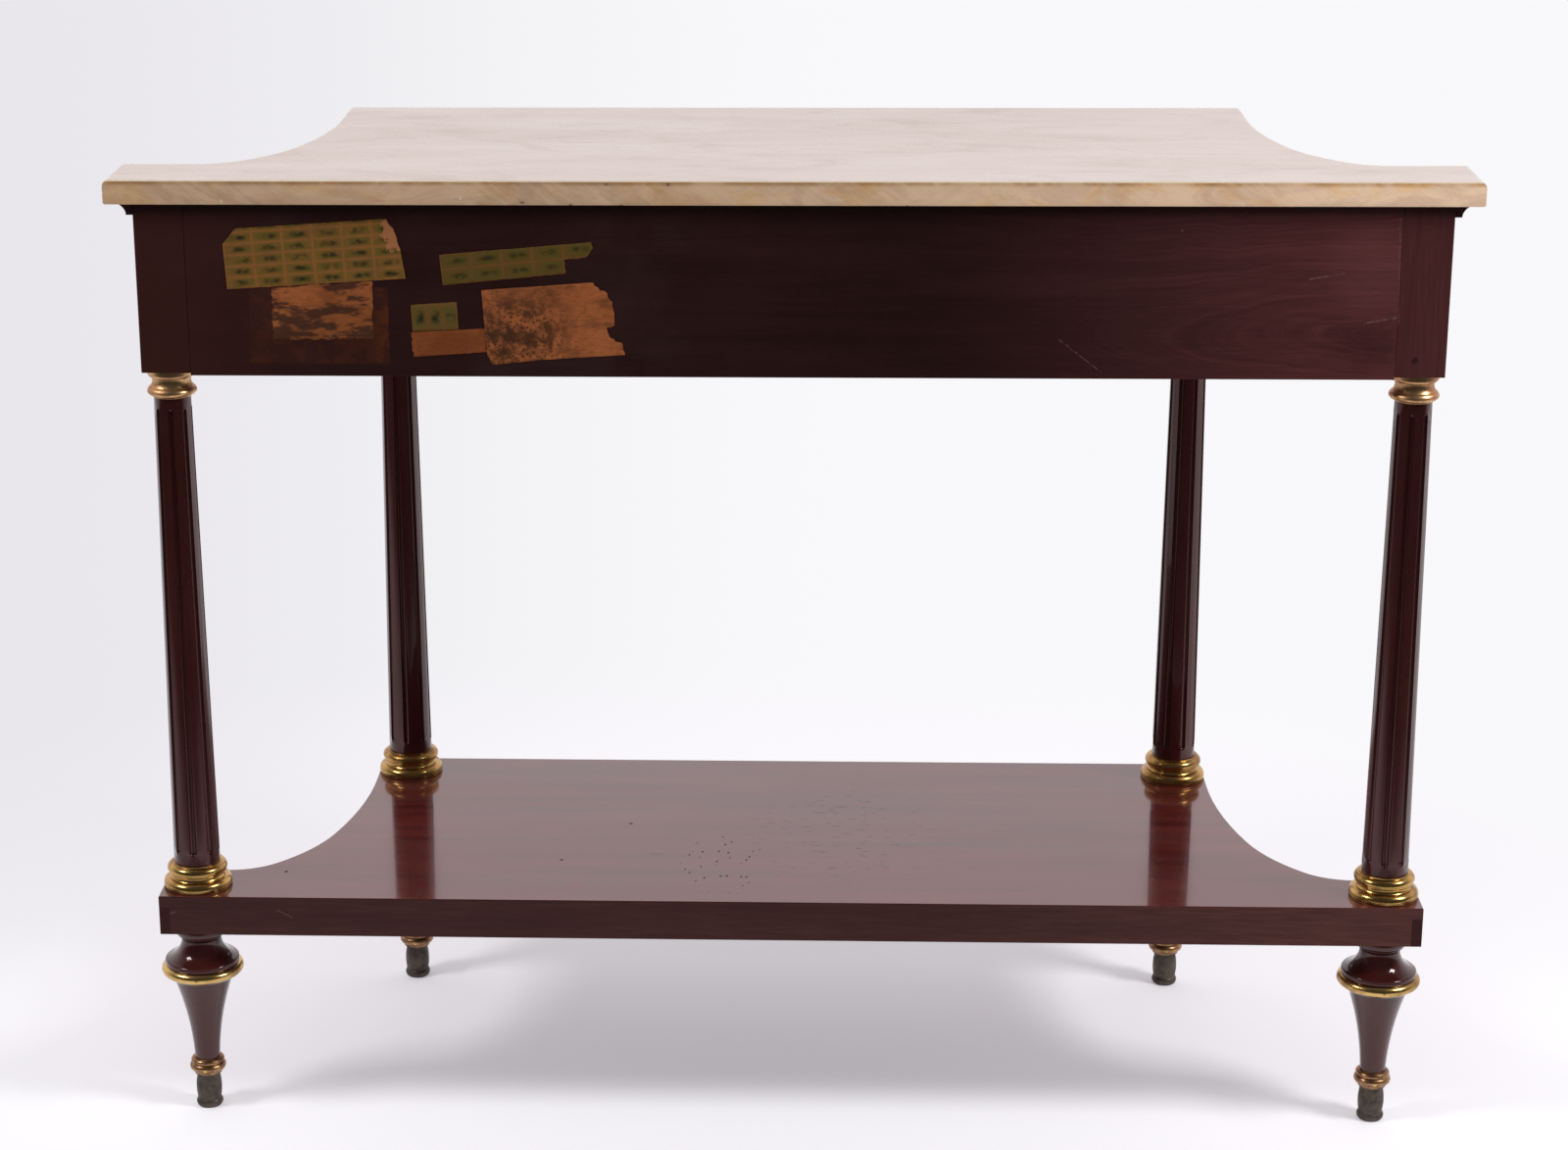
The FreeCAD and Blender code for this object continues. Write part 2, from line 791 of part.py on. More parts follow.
def make_drawer_front():
    body = new_body("drawer_front", y=front_plane, z=drawer_front_foot)
    thick = s.drawer_front_thickness
    foot = s.running_clearance + s.drawer_bottom_rise - s.drawer_gap
    head = foot + s.drawer_bottom_thickness + s.groove_clearance
    groove = thick - s.groove_depth
    section = [
        (s.moulding_seat, 0),
        (thick, 0),
        (thick, foot),
        (groove, foot),
        (groove, head),
        (thick, head),
        (thick, drawer_front_height),
        (s.moulding_seat, drawer_front_height),
    ]
    pad(body, draw(body, "YZ_Plane", section), 2 * drawer_half, midplane=True)
    reach = drawer_half - s.moulding_width
    field = rectangle(-reach, reach, s.moulding_width, drawer_front_height - s.moulding_width)
    pad(body, draw(body, "XZ_Plane", field, height=-s.moulding_seat), s.moulding_seat)
    recess = rectangle(
        -s.lock_width / 2,
        s.lock_width / 2,
        drawer_front_height - s.lock_height,
        drawer_front_height + PAST,
    )
    recess_plane = s.lock_depth - thick
    pocket(body, draw(body, "XZ_Plane", recess, height=recess_plane), s.lock_depth + PAST)
    keyhole(body, drawer_front_height - s.lock_axis_drop)
    radius = s.screw_radius + s.screw_clearance
    foot_of_lock = drawer_front_height - s.lock_height
    pilots = [(across, up + foot_of_lock, radius) for across, up in screw_places()]
    depth = s.screw_length - s.lock_wall + s.screw_clearance
    drilled = draw_circles(body, "XZ_Plane", pilots, height=-thick + depth)
    pocket(body, drilled, depth + PAST)


def make_drawer_moulding():
    """The brass bead let in around the face of the drawer."""
    body = new_body("drawer_moulding", y=front_plane, z=drawer_front_foot)
    outer = rectangle(-drawer_half, drawer_half, 0, drawer_front_height)
    plate = draw(body, "XZ_Plane", outer, height=-s.moulding_seat)
    pad(body, plate, s.moulding_seat + s.moulding_projection)
    reach = drawer_half - s.moulding_width
    inner = rectangle(-reach, reach, s.moulding_width, drawer_front_height - s.moulding_width)
    opened = pocket(body, draw(body, "XZ_Plane", inner))
    face = -number_of(s.moulding_projection)

    def on_face(middle):
        return abs(middle.y - face) < NEAR

    soften(body, opened, s.moulding_round, edges_of(opened, on_face), rounded=True)


def make_drawer_side(name, side):
    body = new_body("drawer_side_" + name, y=drawer_side_start, z=drawer_side_foot)
    outer = side * drawer_half
    inner = side * (drawer_half - s.drawer_side_thickness)
    groove = side * (drawer_half - s.drawer_side_thickness + s.groove_depth)
    foot = s.drawer_bottom_rise
    head = foot + s.drawer_bottom_thickness + s.groove_clearance
    steps = [
        (outer, 0),
        (outer, drawer_side_height),
        (inner, drawer_side_height),
        (inner, head),
        (groove, head),
        (groove, foot),
        (inner, foot),
        (inner, 0),
    ]
    pad(body, draw(body, "XZ_Plane", steps), drawer_side_length, back=True)


def make_drawer_back_and_bottom():
    inside = drawer_half - s.drawer_side_thickness
    bottom_foot = drawer_side_foot + s.drawer_bottom_rise
    back_foot = bottom_foot + s.drawer_bottom_thickness + s.groove_clearance
    side_head = drawer_side_foot + drawer_side_height
    side_end = drawer_side_start + drawer_side_length
    board(
        "drawer_back",
        (-inside, side_end - s.drawer_back_thickness, back_foot),
        (2 * inside, s.drawer_back_thickness, side_head - s.drawer_back_drop - back_foot),
    )
    reach = inside + s.groove_depth - s.groove_clearance
    start = drawer_side_start - s.groove_depth + s.groove_clearance
    bottom = new_body("drawer_bottom", -reach, start, bottom_foot + s.groove_clearance / 2)
    sheet = draw(bottom, "XY_Plane", rectangle(0, 2 * reach, 0, side_end - start))
    pad(bottom, sheet, s.drawer_bottom_thickness)


def make_escutcheon():
    """A pointed oval plate around the keyhole."""
    body = new_body("escutcheon", y=front_plane, z=key_axis)
    half_height = s.escutcheon_height / 2
    half_width = s.escutcheon_width / 2
    steps = [(0, half_height, half_width, 0), (0, -half_height, -half_width, 0)]
    plate = pad(body, draw(body, "XZ_Plane", steps), s.escutcheon_thickness)
    face = -number_of(s.escutcheon_thickness)

    def on_face(middle):
        return abs(middle.y - face) < NEAR

    soften(body, plate, s.escutcheon_round, edges_of(plate, on_face), rounded=True)
    keyhole(body, 0)


def make_lock_case():
    """A box let into the back of the drawer front, open towards it, with a flange outside."""
    body = new_body("lock_case", y=lock_plane, z=lock_foot)
    half_width = s.lock_width / 2
    margin = s.lock_plate_margin
    flange = rectangle(-half_width - margin, half_width + margin, -margin, s.lock_height)
    pad(body, draw(body, "XZ_Plane", flange, height=-s.lock_depth), s.lock_wall, back=True)
    case = rectangle(-half_width, half_width, 0, s.lock_height)
    pad(body, draw(body, "XZ_Plane", case), s.lock_depth, back=True)
    inside = half_width - s.lock_wall
    cavity = rectangle(-inside, inside, s.lock_wall, s.lock_height - s.lock_wall)
    pocket(body, draw(body, "XZ_Plane", cavity), s.lock_depth - s.lock_wall)
    reach = s.bolt_width / 2 + s.bolt_clearance
    bolt_middle = s.bolt_inset + s.bolt_thickness / 2
    half_thickness = s.bolt_thickness / 2 + s.bolt_clearance
    slot = rectangle(-reach, reach, bolt_middle - half_thickness, bolt_middle + half_thickness)
    pocket(body, draw(body, "XY_Plane", slot, height=s.lock_height), s.lock_wall + s.bolt_clearance)
    radius = s.screw_radius + s.screw_clearance
    holes = [(across, up, radius) for across, up in screw_places()]
    pocket(body, draw_circles(body, "XZ_Plane", holes))


def make_lock_bolt():
    """The bolt, drawn back, with the wider tail that keeps it in its case."""
    body = new_body("lock_bolt", y=lock_plane + s.bolt_inset, z=lock_foot + s.lock_height)
    half_width = s.bolt_width / 2
    half_tail = s.bolt_tail_width / 2
    foot = -s.bolt_height
    shoulder = s.bolt_tail_height - s.bolt_height
    steps = [
        (-half_tail, foot),
        (half_tail, foot),
        (half_tail, shoulder),
        (half_width, shoulder),
        (half_width, 0),
        (-half_width, 0),
        (-half_width, shoulder),
        (-half_tail, shoulder),
    ]
    pad(body, draw(body, "XZ_Plane", steps), s.bolt_thickness, back=True)


def make_key():
    """The key in its lock, bit down, with a ring bow."""
    body = new_body("key", y=front_plane, z=key_axis)
    inner_end = lock_plane - front_plane + s.bolt_inset + s.key_bit_width
    shank = draw_circles(body, "XZ_Plane", [(0, 0, s.key_shank_radius)], height=-inner_end)
    pad(body, shank, inner_end + s.key_length)
    half_bit = s.key_bit_thickness / 2
    bit = rectangle(-half_bit, half_bit, -s.key_bit_reach, 0)
    pad(body, draw(body, "XZ_Plane", bit, height=-inner_end), s.key_bit_width)
    collar_plane = s.escutcheon_thickness + s.running_clearance
    collar = draw_circles(body, "XZ_Plane", [(0, 0, s.key_collar_radius)], height=collar_plane)
    pad(body, collar, s.key_collar_width)
    half_bow = s.key_bow_width / 2
    flat = half_bow - s.key_bow_arris
    inner, outer = -s.key_bow_radius + half_bow, -s.key_bow_radius - half_bow
    wire = [
        (flat, inner),
        (-flat, inner),
        (-half_bow, -s.key_bow_radius + flat),
        (-half_bow, -s.key_bow_radius - flat),
        (-flat, outer),
        (flat, outer),
        (half_bow, -s.key_bow_radius - flat),
        (half_bow, -s.key_bow_radius + flat),
    ]
    section = draw(body, "XY_Plane", wire)
    section.setExpression("AttachmentOffset.Base.y", text_of(-s.key_length - s.key_bow_radius))
    bow = body.newObject("PartDesign::Revolution", "key_bow")
    bow.Profile = section
    bow.ReferenceAxis = (section, ["H_Axis"])
    bow.Angle = 360


# ----------------------------------------------------------------- columns and their brasses


def make_column(corner, place):
    """A tapering shaft with stopped flutes, tenoned into its block and into the shelf."""
    turn = Size(column_turns[corner], repr(column_turns[corner]))
    body = new_body("column_" + corner, *place, shelf_top, turn)
    shaft_foot = s.base_height
    shaft_head = column_height - s.capital_height
    lower_seat = s.column_foot_radius - s.column_seat_step
    upper_seat = s.column_neck_radius - s.column_seat_step
    turn_profile(
        body,
        [
            (0, -s.lower_tenon_length),
            (s.tenon_radius, -s.lower_tenon_length),
            (s.tenon_radius, 0),
            (lower_seat, 0),
            (lower_seat, shaft_foot),
            (s.column_foot_radius, shaft_foot),
            (s.column_neck_radius, shaft_head),
            (upper_seat, shaft_head),
            (upper_seat, column_height),
            (s.tenon_radius, column_height),
            (s.tenon_radius, column_height + s.upper_tenon_length),
            (0, column_height + s.upper_tenon_length),
        ],
    )
    taper = (s.column_foot_radius - s.column_neck_radius) / (shaft_head - shaft_foot)
    foot_radius, neck_radius = s.flute_foot_radius, s.flute_neck_radius
    foot_axis = s.column_foot_radius - taper * s.flute_foot_gap + foot_radius - s.flute_depth
    neck_axis = s.column_neck_radius + taper * s.flute_neck_gap + neck_radius - s.flute_depth
    foot_middle = shaft_foot + s.flute_foot_gap
    neck_middle = shaft_head - s.flute_neck_gap
    steps = [
        (foot_axis, foot_middle - foot_radius),
        (foot_axis + foot_radius, foot_middle, QUARTER_ROUND),
        (neck_axis + neck_radius, neck_middle),
        (neck_axis, neck_middle + neck_radius, QUARTER_ROUND),
    ]
    cutter = draw(body, "XZ_Plane", bowed(steps))
    flute = body.newObject("PartDesign::Groove", body.Label + "_flute")
    flute.Profile = cutter
    flute.ReferenceAxis = (cutter, ["Edge1"])
    flute.Angle = 360
    around_axis(body, flute, s.flute_count)


def make_capital(corner, place):
    body = new_body("capital_" + corner, *place, frieze_bottom - s.capital_height)
    bore = s.column_neck_radius - s.column_seat_step + s.fit_clearance
    top = s.capital_height
    lip = s.capital_lip_radius - s.capital_lip_height / 2
    turn_profile(
        body,
        [
            (bore, 0),
            (lip, 0),
            (lip, s.capital_lip_height, HALF_ROUND),
            (s.capital_bell_radius, top - s.capital_bell_drop, QUARTER_ROUND),
            (s.capital_flare_radius, top - s.capital_flare_drop, SWELL),
            (s.capital_throat_radius, top - s.capital_collar_height, -SWELL),
            (s.capital_collar_radius, top - s.capital_collar_rim, QUARTER_ROUND),
            (s.capital_collar_radius, top),
            (bore, top),
        ],
    )


def make_base(corner, place):
    body = new_body("base_" + corner, *place, shelf_top)
    bore = s.column_foot_radius - s.column_seat_step + s.fit_clearance
    cove_middle = (s.base_lower_top + s.base_cove_top) / 2
    shoulder = (s.base_fillet_radius + s.base_cove_radius) / 2
    turn_profile(
        body,
        [
            (bore, 0),
            (s.base_plinth_radius, 0),
            (s.base_plinth_radius, s.base_plinth_height),
            (s.base_lower_radius, s.base_lower_middle, QUARTER_ROUND),
            (s.base_fillet_radius, s.base_lower_top, QUARTER_ROUND),
            (shoulder, s.base_lower_top),
            (shoulder, s.base_cove_top, s.base_cove_radius, cove_middle),
            (s.base_fillet_radius, s.base_cove_top),
            (s.base_fillet_radius, s.base_fillet_top),
            (s.base_upper_radius, s.base_upper_middle, QUARTER_ROUND),
            (s.base_lip_radius, s.base_upper_top, QUARTER_ROUND),
            (s.base_lip_radius, s.base_height),
            (bore, s.base_height),
        ],
    )


# ------------------------------------------------------------------------------------- shelf


def shelf_plate(label, offset, foot, thickness):
    """A board in the plan's shape."""
    body = new_body(label, z=foot)
    outline = plan_outline(offset, s.shelf_overhang)
    plate = pad(body, draw(body, "XY_Plane", outline), thickness)
    return body, plate


def tenon_holes(body):
    radius = s.tenon_radius + s.fit_clearance
    holes = [(x, y, radius) for x, y in column_places.values()]
    pocket(body, draw_circles(body, "XY_Plane", holes))


def make_shelf():
    top_foot = shelf_top - s.shelf_top_thickness
    body, plate = shelf_plate("shelf_top", s.shelf_overhang, top_foot, s.shelf_top_thickness)
    upper = number_of(s.shelf_top_thickness)

    def on_top(middle):
        return abs(middle.z - upper) < NEAR

    soften(body, plate, s.shelf_arris, edges_of(plate, on_top), rounded=True)
    tenon_holes(body)
    core, _ = shelf_plate("shelf_core", 0, shelf_bottom, shelf_edge_height)
    tenon_holes(core)
    board(
        "shelf_edge_front",
        (-half_front, front_plane - s.shelf_overhang, shelf_bottom),
        (2 * half_front, s.shelf_overhang, shelf_edge_height),
    )


def make_shelf_edge(name, side):
    """The strip that edges one concave side of the shelf, from its front to its back."""
    body = new_body("shelf_edge_" + name, z=shelf_bottom)
    grown = s.shelf_overhang
    outer, inner = side_curve(grown), side_curve(0)
    front, back = front_plane - grown, back_plane + grown
    steps = [
        (half_front + grown, front),
        outer[0],
        *arcs_along(outer),
        (half_back + grown, ear_plane - grown),
        (half_back + grown, back),
        (half_back, back),
        (half_back, ear_plane),
        inner[6],
        *arcs_along(inner[::-1]),
        (half_front, front),
    ]
    strip = draw(body, "XY_Plane", steps if side > 0 else mirrored(steps))
    pad(body, strip, shelf_edge_height)


# -------------------------------------------------------------------------------------- feet


def make_foot(corner, place):
    """A turned foot: collar, neck, wide brim, seat for its ring, and a hollow taper to its toe."""
    body = new_body("foot_" + corner, *place, shelf_bottom)
    toe = s.shoe_height - s.foot_height
    spigot_end = toe - s.shoe_socket_depth
    spigot = s.shoe_socket_radius - s.fit_clearance
    seat_top = -s.foot_ring_drop
    seat_foot = seat_top - s.ring_height
    shoulder = -s.foot_shoulder_drop
    taper_middle = (s.foot_toe_radius + s.foot_shoulder_radius) / 2 - s.foot_taper_hollow
    collar_foot = -s.foot_collar_height
    groove_foot = collar_foot - s.foot_groove_height
    turn_profile(
        body,
        [
            (0, spigot_end),
            (spigot, spigot_end),
            (spigot, toe),
            (s.foot_toe_radius, toe),
            (s.foot_shoulder_radius, shoulder, taper_middle, (toe + shoulder) / 2),
            (s.foot_seat_radius, seat_foot, QUARTER_ROUND),
            (s.foot_seat_radius, seat_top),
            (s.foot_bun_foot_radius, seat_top),
            (s.foot_bun_radius, -s.foot_bun_drop, SWELL),
            (s.foot_brim_radius, -s.foot_brim_drop, QUARTER_ROUND),
            (s.foot_neck_radius, groove_foot, -SWEEP),
            (s.foot_groove_radius, (groove_foot + collar_foot) / 2),
            (s.foot_collar_foot_radius, collar_foot),
            (s.foot_collar_radius, -s.foot_collar_rim, QUARTER_ROUND),
            (s.foot_collar_radius, 0),
            (s.tenon_radius, 0),
            (s.tenon_radius, s.foot_tenon_length),
            (0, s.foot_tenon_length),
        ],
    )
    radius = s.nail_radius + s.fit_clearance
    ring_middle = (seat_top + seat_foot) / 2
    start = s.ring_radius - s.nail_length
    bore = pocket(
        body,
        draw_circles(body, "XZ_Plane", [(0, ring_middle, radius)], height=-start),
        s.nail_length,
    )
    around_axis(body, bore, s.ring_nail_count)
    spigot_start = s.shoe_lower_bead_radius - s.nail_length
    nail_rise = shoe_nail_rise - s.foot_height
    second = pocket(
        body,
        draw_circles(body, "XZ_Plane", [(0, nail_rise, radius)], height=-spigot_start),
        s.foot_toe_radius,
    )
    around_axis(body, second, s.shoe_nail_count)


def nail_seats(body, height, crest, count):
    """Bore a turned brass for its nails and sink a seat for each head."""
    bore_start = crest - s.nail_length
    radius = s.nail_radius + s.fit_clearance
    bore = pocket(
        body,
        draw_circles(body, "XZ_Plane", [(0, height, radius)], height=-bore_start),
        s.nail_length + PAST,
    )
    seat_start = crest - s.nail_head_height
    head = s.nail_head_radius + s.fit_clearance
    seat = pocket(
        body,
        draw_circles(body, "XZ_Plane", [(0, height, head)], height=-seat_start),
        s.nail_head_height + PAST,
    )
    pattern = around_axis(body, bore, count)
    pattern.Originals = [bore, seat]


def make_ring(corner, place):
    """The half-round brass ring nailed round the foot under its bun."""
    ring_foot = shelf_bottom - s.foot_ring_drop - s.ring_height
    body = new_body("foot_ring_" + corner, *place, ring_foot)
    inside = s.foot_seat_radius + s.fit_clearance
    edge = s.ring_radius - s.ring_height / 2
    turn_profile(
        body,
        [(inside, 0), (edge, 0), (edge, s.ring_height, HALF_ROUND), (inside, s.ring_height)],
    )
    nail_seats(body, s.ring_height / 2, s.ring_radius, s.ring_nail_count)


def make_shoe(corner, place):
    """The cast brass shoe that the toe of a foot stands in."""
    body = new_body("shoe_" + corner, *place)
    ball_middle = s.shoe_ankle_rise / 2
    bulb_middle = (s.shoe_ankle_rise + s.shoe_neck_rise) / 2
    lower_middle = (s.shoe_lower_bead_foot + s.shoe_lower_bead_top) / 2
    upper_middle = (s.shoe_lower_bead_top + s.shoe_upper_bead_top) / 2
    turn_profile(
        body,
        [
            (0, 0),
            (s.shoe_sole_radius, 0),
            (s.shoe_ankle_radius, s.shoe_ankle_rise, s.shoe_ball_radius, ball_middle),
            (s.shoe_neck_radius, s.shoe_neck_rise, s.shoe_bulb_radius, bulb_middle),
            (s.shoe_fillet_radius, s.shoe_fillet_foot, -QUARTER_ROUND),
            (s.shoe_fillet_radius, s.shoe_fillet_top),
            (s.shoe_waist_radius, s.shoe_lower_bead_foot, -QUARTER_ROUND),
            (s.shoe_waist_radius, s.shoe_lower_bead_top, s.shoe_lower_bead_radius, lower_middle),
            (s.shoe_rim_radius, s.shoe_upper_bead_top, s.shoe_upper_bead_radius, upper_middle),
            (s.shoe_rim_radius, s.shoe_height),
            (s.shoe_socket_radius, s.shoe_height),
            (s.shoe_socket_radius, s.shoe_height - s.shoe_socket_depth),
            (0, s.shoe_height - s.shoe_socket_depth),
        ],
    )
    nail_seats(body, shoe_nail_rise, s.shoe_lower_bead_radius, s.shoe_nail_count)


# --------------------------------------------------------------------------- nails and screws


def fastener(label, solids):
    """Identical fasteners as one sub-part of separate solids."""
    feature = doc.addObject("Part::Feature", label)
    feature.Label = label
    feature.Shape = Part.makeCompound(solids)
    feature.Placement = Placement()


def turned_solid(profile, place, direction):
    """Turn a half profile of (radius, distance) points, the last joined to the first by the
    axis, and stand it at a place along a direction. Four values give an arc, as in a step."""
    points = [Vector(step[0], 0, step[1]) for step in profile]
    edges = [Part.makeLine(points[-1], points[0])]
    for before, here, step in zip(points, points[1:], profile[1:]):
        if len(step) == 4:
            edges.append(Part.Arc(before, Vector(step[2], 0, step[3]), here).toShape())
        else:
            edges.append(Part.makeLine(before, here))
    solid = Part.Face(Part.Wire(edges)).revolve(Vector(), Vector(0, 0, 1), 360)
    solid.Placement = Placement(place, Rotation(Vector(0, 0, 1), direction))
    return solid


def make_nail(crest, height, place, angle):
    """A round-headed nail driven towards the upright axis through a place. Its head sits in a
    seat sunk below the crest's radius."""
    length, radius = number_of(s.nail_length), number_of(s.nail_radius)
    head, rise = number_of(s.nail_head_radius), number_of(s.nail_head_rise)
    seat = length - number_of(s.nail_head_height)
    dome_radius = (head * head + rise * rise) / (2 * rise)
    dome_middle = head / 2, length + rise - dome_radius + math.sqrt(
        dome_radius * dome_radius - head * head / 4
    )
    profile = [
        (0, 0),
        (radius, 0),
        (radius, seat),
        (head, seat),
        (head, length),
        (0, length + rise, *dome_middle),
    ]
    outwards = Vector(math.cos(angle), math.sin(angle), 0)
    axis_point = Vector(number_of(place[0]), number_of(place[1]), number_of(height))
    return turned_solid(profile, axis_point + outwards * (number_of(crest) - length), outwards)


def make_nails():
    solids = []
    ring_height = s.foot_height - s.foot_ring_drop - s.ring_height / 2
    for place in column_places.values():
        for crest, height, count in (
            (s.ring_radius, ring_height, s.ring_nail_count),
            (s.shoe_lower_bead_radius, shoe_nail_rise, s.shoe_nail_count),
        ):
            for index in range(round(count.number)):
                angle = math.pi / 2 + 2 * math.pi * index / round(count.number)
                solids.append(make_nail(crest, height, place, angle))
    fastener("brass_nails", solids)


def make_lock_screws():
    """Slotted screws through the flange of the lock into the drawer front."""
    solids = []
    plane = number_of(lock_plane + s.lock_depth + s.lock_wall)
    radius, length = number_of(s.screw_radius), number_of(s.screw_length)
    head, head_height = number_of(s.screw_head_radius), number_of(s.screw_head_height)
    slot_width = number_of(s.screw_slot_width)
    inwards = Vector(0, -1, 0)
    for across, up in screw_places():
        seat = Vector(number_of(across), plane, number_of(up + lock_foot))
        shank = Part.makeCylinder(radius, length, seat, inwards)
        disc = Part.makeCylinder(head, head_height, seat, -inwards)
        corner = seat + Vector(-head, head_height / 2, -slot_width / 2)
        slot = Part.makeBox(2 * head, head_height, slot_width, corner)
        solids.append(shank.fuse(disc).cut(slot).removeSplitter())
    fastener("lock_screws", solids)


# ---------------------------------------------------------------------------------- assembly

make_marble_top()
make_back_panel()
make_front_rails()
make_cornice_front()
for name, side in (("right", 1), ("left", -1)):
    make_side_panel(name, side)
    make_cornice_side(name, side)
    make_bearer(name, side)
    make_kicker(name, side)
    make_drawer_side(name, side)
    make_shelf_edge(name, side)
make_drawer_front()
make_drawer_moulding()
make_drawer_back_and_bottom()
make_escutcheon()
make_lock_case()
make_lock_bolt()
make_key()
make_lock_screws()
make_shelf()
for corner, place in column_places.items():
    make_corner_block(corner, place)
    make_capital(corner, place)
    make_column(corner, place)
    make_base(corner, place)
    make_foot(corner, place)
    make_ring(corner, place)
    make_shoe(corner, place)
make_nails()

# ------------------------------------------------------------------------ checks and writing

CUTS = ("PartDesign::Pocket", "PartDesign::Groove")


def check():
    """Stop if anything failed to build, or if a cut took nothing away."""
    doc.recompute()
    for item in doc.Objects:
        if "Invalid" in item.State or "Error" in item.State:
            raise RuntimeError(f"{item.Label} failed: {item.State}")
        if item.TypeId in CUTS and item.Shape.Volume > item.BaseFeature.Shape.Volume - NEAR:
            raise RuntimeError(f"{item.Label} cuts nothing")


def sub_parts():
    kinds = ("PartDesign::Body", "Part::Feature")
    return [item for item in doc.Objects if item.TypeId in kinds]


check()
for part in sub_parts():
    if part.Shape.isNull() or not part.Shape.isValid():
        raise RuntimeError(f"{part.Label} has no valid shape")
os.makedirs("parts", exist_ok=True)
for part in sub_parts():
    part.Shape.exportStep(f"parts/{part.Label}.step")
print(len(sub_parts()), "sub-parts written")
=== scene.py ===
"""The looks of the pier table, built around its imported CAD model. Lengths are metres."""

import math
import random

import bmesh
import bpy
from mathutils import Matrix, Vector, geometry


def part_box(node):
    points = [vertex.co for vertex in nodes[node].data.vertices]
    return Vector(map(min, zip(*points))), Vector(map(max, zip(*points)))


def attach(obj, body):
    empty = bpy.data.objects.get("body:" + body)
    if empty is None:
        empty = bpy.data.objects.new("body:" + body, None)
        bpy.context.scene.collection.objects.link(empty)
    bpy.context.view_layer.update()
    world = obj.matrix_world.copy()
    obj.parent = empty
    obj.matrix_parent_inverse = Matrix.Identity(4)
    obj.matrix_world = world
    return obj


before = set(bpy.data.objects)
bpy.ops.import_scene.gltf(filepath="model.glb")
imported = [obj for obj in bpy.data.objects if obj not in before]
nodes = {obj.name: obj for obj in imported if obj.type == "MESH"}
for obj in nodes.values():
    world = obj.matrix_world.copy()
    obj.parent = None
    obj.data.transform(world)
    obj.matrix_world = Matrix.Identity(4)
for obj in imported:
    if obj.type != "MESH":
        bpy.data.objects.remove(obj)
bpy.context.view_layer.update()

MM = 0.001

# Places on the table, read from the frame.
BACK_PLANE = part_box("back_panel")[1].y
SHELF_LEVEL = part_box("shelf_top")[1].z
MARBLE_LOW, MARBLE_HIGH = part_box("marble_top")
MARBLE_THICKNESS = MARBLE_HIGH.z - MARBLE_LOW.z

# ---- Camera, at the photograph's place and angle ----

IMAGE_WIDTH, IMAGE_HEIGHT = 1600, 1173
SENSOR_WIDTH = 36.0
FOCAL_PIXELS = 3444.9
CENTRE_PIXEL = (704.4, 614.7)
CAMERA_PLACE = Vector((-0.0264, 3.0122, 1.4081))
CAMERA_YAW = -0.0396
CAMERA_PITCH = -0.3091
CAMERA_ROLL = -0.0057


def camera_axes():
    """The camera's right, up and forward directions. It looks along -Y at the back of the table."""
    level = math.cos(CAMERA_PITCH)
    sideways = -math.sin(CAMERA_YAW) * level
    forward = Vector((sideways, -math.cos(CAMERA_YAW) * level, math.sin(CAMERA_PITCH)))
    right = Vector((-math.cos(CAMERA_YAW), math.sin(CAMERA_YAW), 0.0))
    up = right.cross(forward)
    rolled_right = math.cos(CAMERA_ROLL) * right + math.sin(CAMERA_ROLL) * up
    rolled_up = math.cos(CAMERA_ROLL) * up - math.sin(CAMERA_ROLL) * right
    return rolled_right, rolled_up, forward


RIGHT, UP, FORWARD = camera_axes()


def pixel_ray(pixel):
    """The direction from the camera to what the photograph shows at a pixel."""
    across = (pixel[0] - CENTRE_PIXEL[0]) / FOCAL_PIXELS
    down = (pixel[1] - CENTRE_PIXEL[1]) / FOCAL_PIXELS
    return FORWARD + across * RIGHT - down * UP


def on_board(pixel):
    """The point (x, z) of the table's back plane that the photograph shows at a pixel."""
    ray = pixel_ray(pixel)
    point = CAMERA_PLACE + ray * ((BACK_PLANE - CAMERA_PLACE.y) / ray.y)
    return point.x, point.z


def on_shelf(pixel):
    """The point (x, y) of the shelf's top that the photograph shows at a pixel."""
    ray = pixel_ray(pixel)
    point = CAMERA_PLACE + ray * ((SHELF_LEVEL - CAMERA_PLACE.z) / ray.z)
    return point.x, point.y


def pixel_ellipse(project, middle, radii):
    """An ellipse in pixels as (centre, half sizes) on the table. project is on_board or on_shelf."""
    centre = project(middle)
    beside = project((middle[0] + radii[0], middle[1]))
    under = project((middle[0], middle[1] + radii[1]))
    return centre, (abs(beside[0] - centre[0]), abs(under[1] - centre[1]))


def add_object(name, data):
    made = bpy.data.objects.new(name, data)
    bpy.context.scene.collection.objects.link(made)
    return made


def add_camera():
    data = bpy.data.cameras.new("camera")
    data.sensor_width = SENSOR_WIDTH
    data.lens = FOCAL_PIXELS / IMAGE_WIDTH * SENSOR_WIDTH
    data.shift_x = (IMAGE_WIDTH / 2 - CENTRE_PIXEL[0]) / IMAGE_WIDTH
    data.shift_y = (CENTRE_PIXEL[1] - IMAGE_HEIGHT / 2) / IMAGE_WIDTH
    camera = add_object("camera", data)
    turn = Matrix((RIGHT, UP, -FORWARD)).transposed()
    camera.matrix_world = Matrix.Translation(CAMERA_PLACE) @ turn.to_4x4()
    bpy.context.scene.camera = camera


# ---- Node trees ----

NOISE_DETAIL = 3.0         # layers of ever finer noise, where a call doesn't say otherwise
NOISE_GAIN = 3.0           # noise strays by up to about a third from its middle, 0.5
SCATTER = (7.0, 5.0, 3.0)  # how far apart the textures of two pieces may be, along each axis


